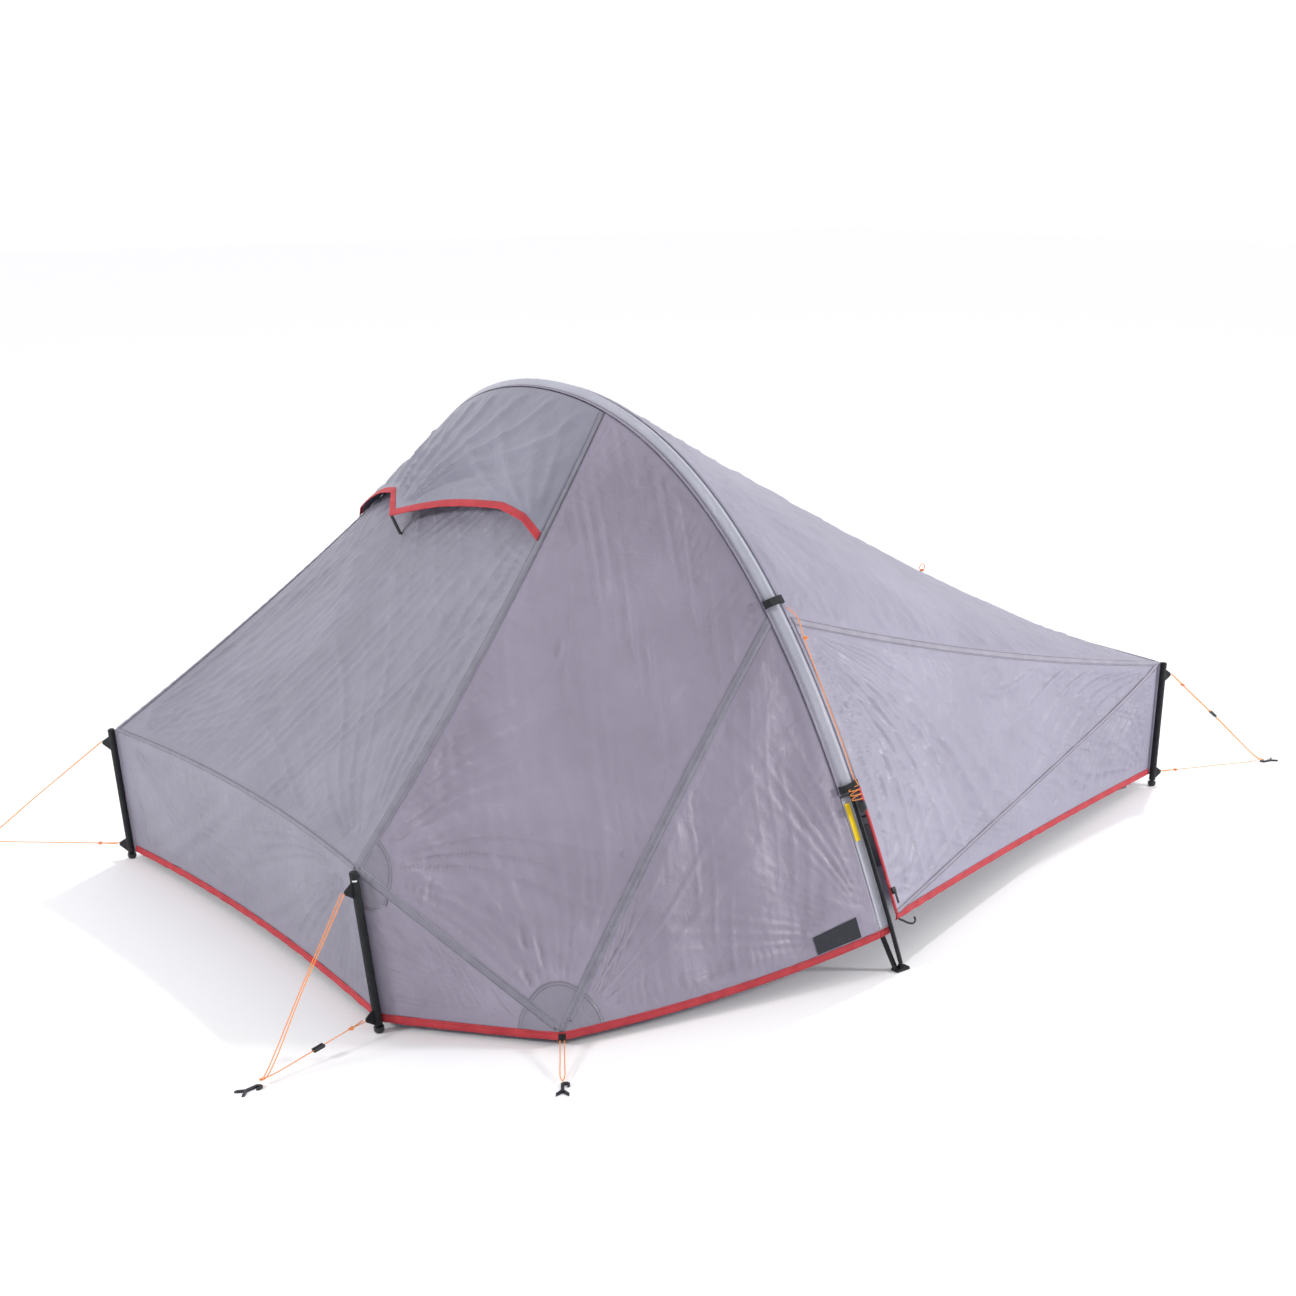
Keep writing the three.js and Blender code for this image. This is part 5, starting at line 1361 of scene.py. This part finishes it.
def add_guylines():
    for name, (end_x, side, peg) in POSTS.items():
        peg = np.array(peg, float)
        direction = unit(peg - post_at(end_x, side, 0))
        across = vec(-direction[1], direction[0], 0)
        hook = peg - direction * 0.03 + UP * 0.007
        upper = post_at(end_x, side, UPPER_TAB) + direction * (TAB_REACH + 0.0006)
        lower = post_at(end_x, side, LOWER_TAB) + direction * (TAB_REACH + 0.0006)
        route = [
            upper + across * 0.004,
            (upper + hook) / 2 + across * 0.0028 - UP * 0.001,
            hook + across * 0.0028 - direction * 0.006 + UP * 0.004,
            hook + direction * 0.004 + UP * 0.003,
            hook - across * 0.0028 - direction * 0.006 + UP * 0.004,
            (upper + hook) / 2 - across * 0.0028 - UP * 0.001,
            upper - across * 0.004,
        ]
        line = smooth_route(route, 14)
        item = cord_curve(f"guyline_{name}_upper", line)
        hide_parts(f"guyline_{name}")
        on_it = []
        if name == "right_near":
            tie = knot(f"knot_{name}_upper", upper + (hook - upper) * UPPER_KNOT_SHARE)
            on_it = [tie, "tensioner_right_near"]
        declare(item, line, on_it)
        split = lower + (hook - lower) * KNOT_SHARE
        route = [
            lower + across * 0.004,
            split,
            (lower + hook) / 2,
            hook - direction * 0.02 + UP * 0.003,
            hook + across * 0.002 + UP * 0.006,
            hook + direction * 0.006 + UP * 0.006,
        ]
        line = smooth_route(route, 12)
        item = cord_curve(f"guyline_{name}_lower", line)
        tie = knot(f"knot_{name}_lower", split)
        on_it = [tie] + (["tensioner_left_near"] if name == "left_near" else [])
        declare(item, line, on_it)
        second = smooth_route([lower - across * 0.004, (lower + split) / 2 - across * 0.002, split], 8)
        declare(cord_curve(f"guyline_{name}_loop", second), second)


SIDE_PEG = vec(-0.826, -0.96, 0)


def add_roof_loop():
    base = roof_right(ROOF_LOOP_U, ROOF_LOOP_V)
    shape = ((-0.004, 0.003), (-0.009, 0.014), (0, 0.022), (0.009, 0.014), (0.004, 0.003))
    route = [base + vec(along, 0, up) for along, up in shape]
    line = smooth_route(route, 10)
    item = cord_curve("roof_loop_cord", line)
    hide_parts("roof_loop")
    declare(item, line, [knot("knot_roof_loop", base + UP * 0.006)])


def add_side_lines():
    direction = unit((SIDE_PEG - PEG_OUT) * (1, 1, 0))
    across = vec(-direction[1], direction[0], 0)
    start = PEG_OUT * (1, 1, 0) + direction * 0.004 + UP * 0.026
    end = SIDE_PEG - direction * 0.029 + UP * 0.006
    route = [
        start + across * 0.004,
        (start + end) / 2 + across * 0.004 - UP * 0.001,
        end + across * 0.0035 - direction * 0.006,
        end + direction * 0.004,
        end - across * 0.0035 - direction * 0.006,
        (start + end) / 2 - across * 0.004 - UP * 0.001,
        start - across * 0.004,
    ]
    line = smooth_route(route, 12)
    item = cord_curve("guyline_side_loop", line)
    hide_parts("guyline_side")
    width = np.linspace(-1, 1, 5)[:, None] * PEG_TAB_WIDTH / 2
    fall = unit(end - start)
    rows = [start + across * width + fall * reach for reach in np.linspace(-0.004, PEG_TAB_LENGTH, 6)]
    tab = ribbon("peg_tab", rows, BLACK, 0.0034, 0, UP)
    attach(tab, "tent")
    declare(item, line, ["peg_tab"])
    stow = [
        (-0.701, 0.016, -0.004), (-0.716, 0.027, -0.006), (-0.735, 0.022, -0.005),
        (-0.79, 0.014, -0.004), (-0.84, 0.012, -0.004), (-0.86, 0.01, -0.005),
    ]
    route = [hoop_edge(hoop_at_y(y), sideways, depth) for y, sideways, depth in stow]
    for k in range(STOW_TURNS * STEPS_PER_TURN):
        angle = 2 * math.pi * k / STEPS_PER_TURN
        sideways, depth = 0.013 * math.cos(angle), -0.007 + 0.006 * math.sin(angle)
        route.append(hoop_edge(hoop_at_y(-0.866 - 0.0004 * k), sideways, depth))
    line = smooth_route(route, 8)
    item = cord_curve("guyline_hoop_stowed", line)
    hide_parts("guyline_hoop")
    declare(item, line, [knot("knot_hoop", hoop_edge(hoop_at_y(-0.738), 0.024, -0.006)), "cord_lock"])


# ------------------------------------------------------------------ camera, light and floor
def add_camera():
    camera = bpy.data.cameras.new("camera")
    camera.lens = CAMERA_LENS
    camera.sensor_width = 36
    item = link("camera", camera)
    item.location = CAMERA_PLACE
    item.rotation_euler = (math.radians(90 - CAMERA_DIP), 0, -math.radians(CAMERA_TURN))
    bpy.context.scene.camera = item


def add_area(name, place, target, size, power):
    lamp = bpy.data.lights.new(name, "AREA")
    lamp.size = size
    lamp.energy = power
    item = link(name, lamp)
    item.location = place
    item.rotation_euler = (Vector(target) - Vector(place)).to_track_quat("-Z", "Y").to_euler()


def add_studio():
    world = bpy.data.worlds.new("studio")
    bpy.context.scene.world = world
    world.use_nodes = True
    tree = world.node_tree
    background = tree.nodes["Background"]
    direction = tree.nodes.new("ShaderNodeTexCoord")
    toward = tree.nodes.new("ShaderNodeVectorMath")
    toward.operation = "DOT_PRODUCT"
    toward.inputs[1].default_value = BRIGHT_SIDE
    fade = tree.nodes.new("ShaderNodeMapRange")
    fade.interpolation_type = "SMOOTHSTEP"
    for key, value in {"From Min": -0.6, "From Max": 0.7, "To Min": 0.55, "To Max": 1.1}.items():
        fade.inputs[key].default_value = value
    tree.links.new(direction.outputs["Generated"], toward.inputs[0])
    tree.links.new(toward.outputs["Value"], fade.inputs["Value"])
    tree.links.new(fade.outputs[0], background.inputs["Strength"])
    background.inputs["Color"].default_value = (0.985, 0.985, 1.0, 1)
    sun = bpy.data.lights.new("sun", "SUN")
    sun.energy = 0.9
    sun.angle = math.radians(3)
    item = link("sun", sun)
    item.rotation_euler = Vector((-0.78, -0.43, -1)).to_track_quat("-Z", "Y").to_euler()
    add_area("key", (4.6, -4.4, 2.4), (0.4, -0.5, 0.4), 0.9, 240)
    add_area("fill", (-5.6, 0.6, 2.6), (-0.3, -0.2, 0.5), 0.9, 150)
    floor = bpy.data.meshes.new("floor")
    reach = 30
    corners = [(-reach, -reach, 0), (reach, -reach, 0), (reach, reach, 0), (-reach, reach, 0)]
    floor.from_pydata(corners, [], [(0, 1, 2, 3)])
    item = link("floor", floor)
    n = Nodes("floor")
    n.set(Base_Color=(0.97, 0.97, 0.98, 1), Roughness=0.9, Specular_IOR_Level=0.1)
    floor.materials.append(n.material)
    view = bpy.context.scene.view_settings
    view.view_transform = "Standard"
    view.exposure = 0.0


add_camera()
add_guylines()
add_side_lines()
add_roof_loop()
add_flysheet()
add_door_side()
add_door_hook()
add_seams()
add_hems()
add_patches()
add_vent()
add_sleeve()
add_post_flaps()
dress_nodes()
add_studio()
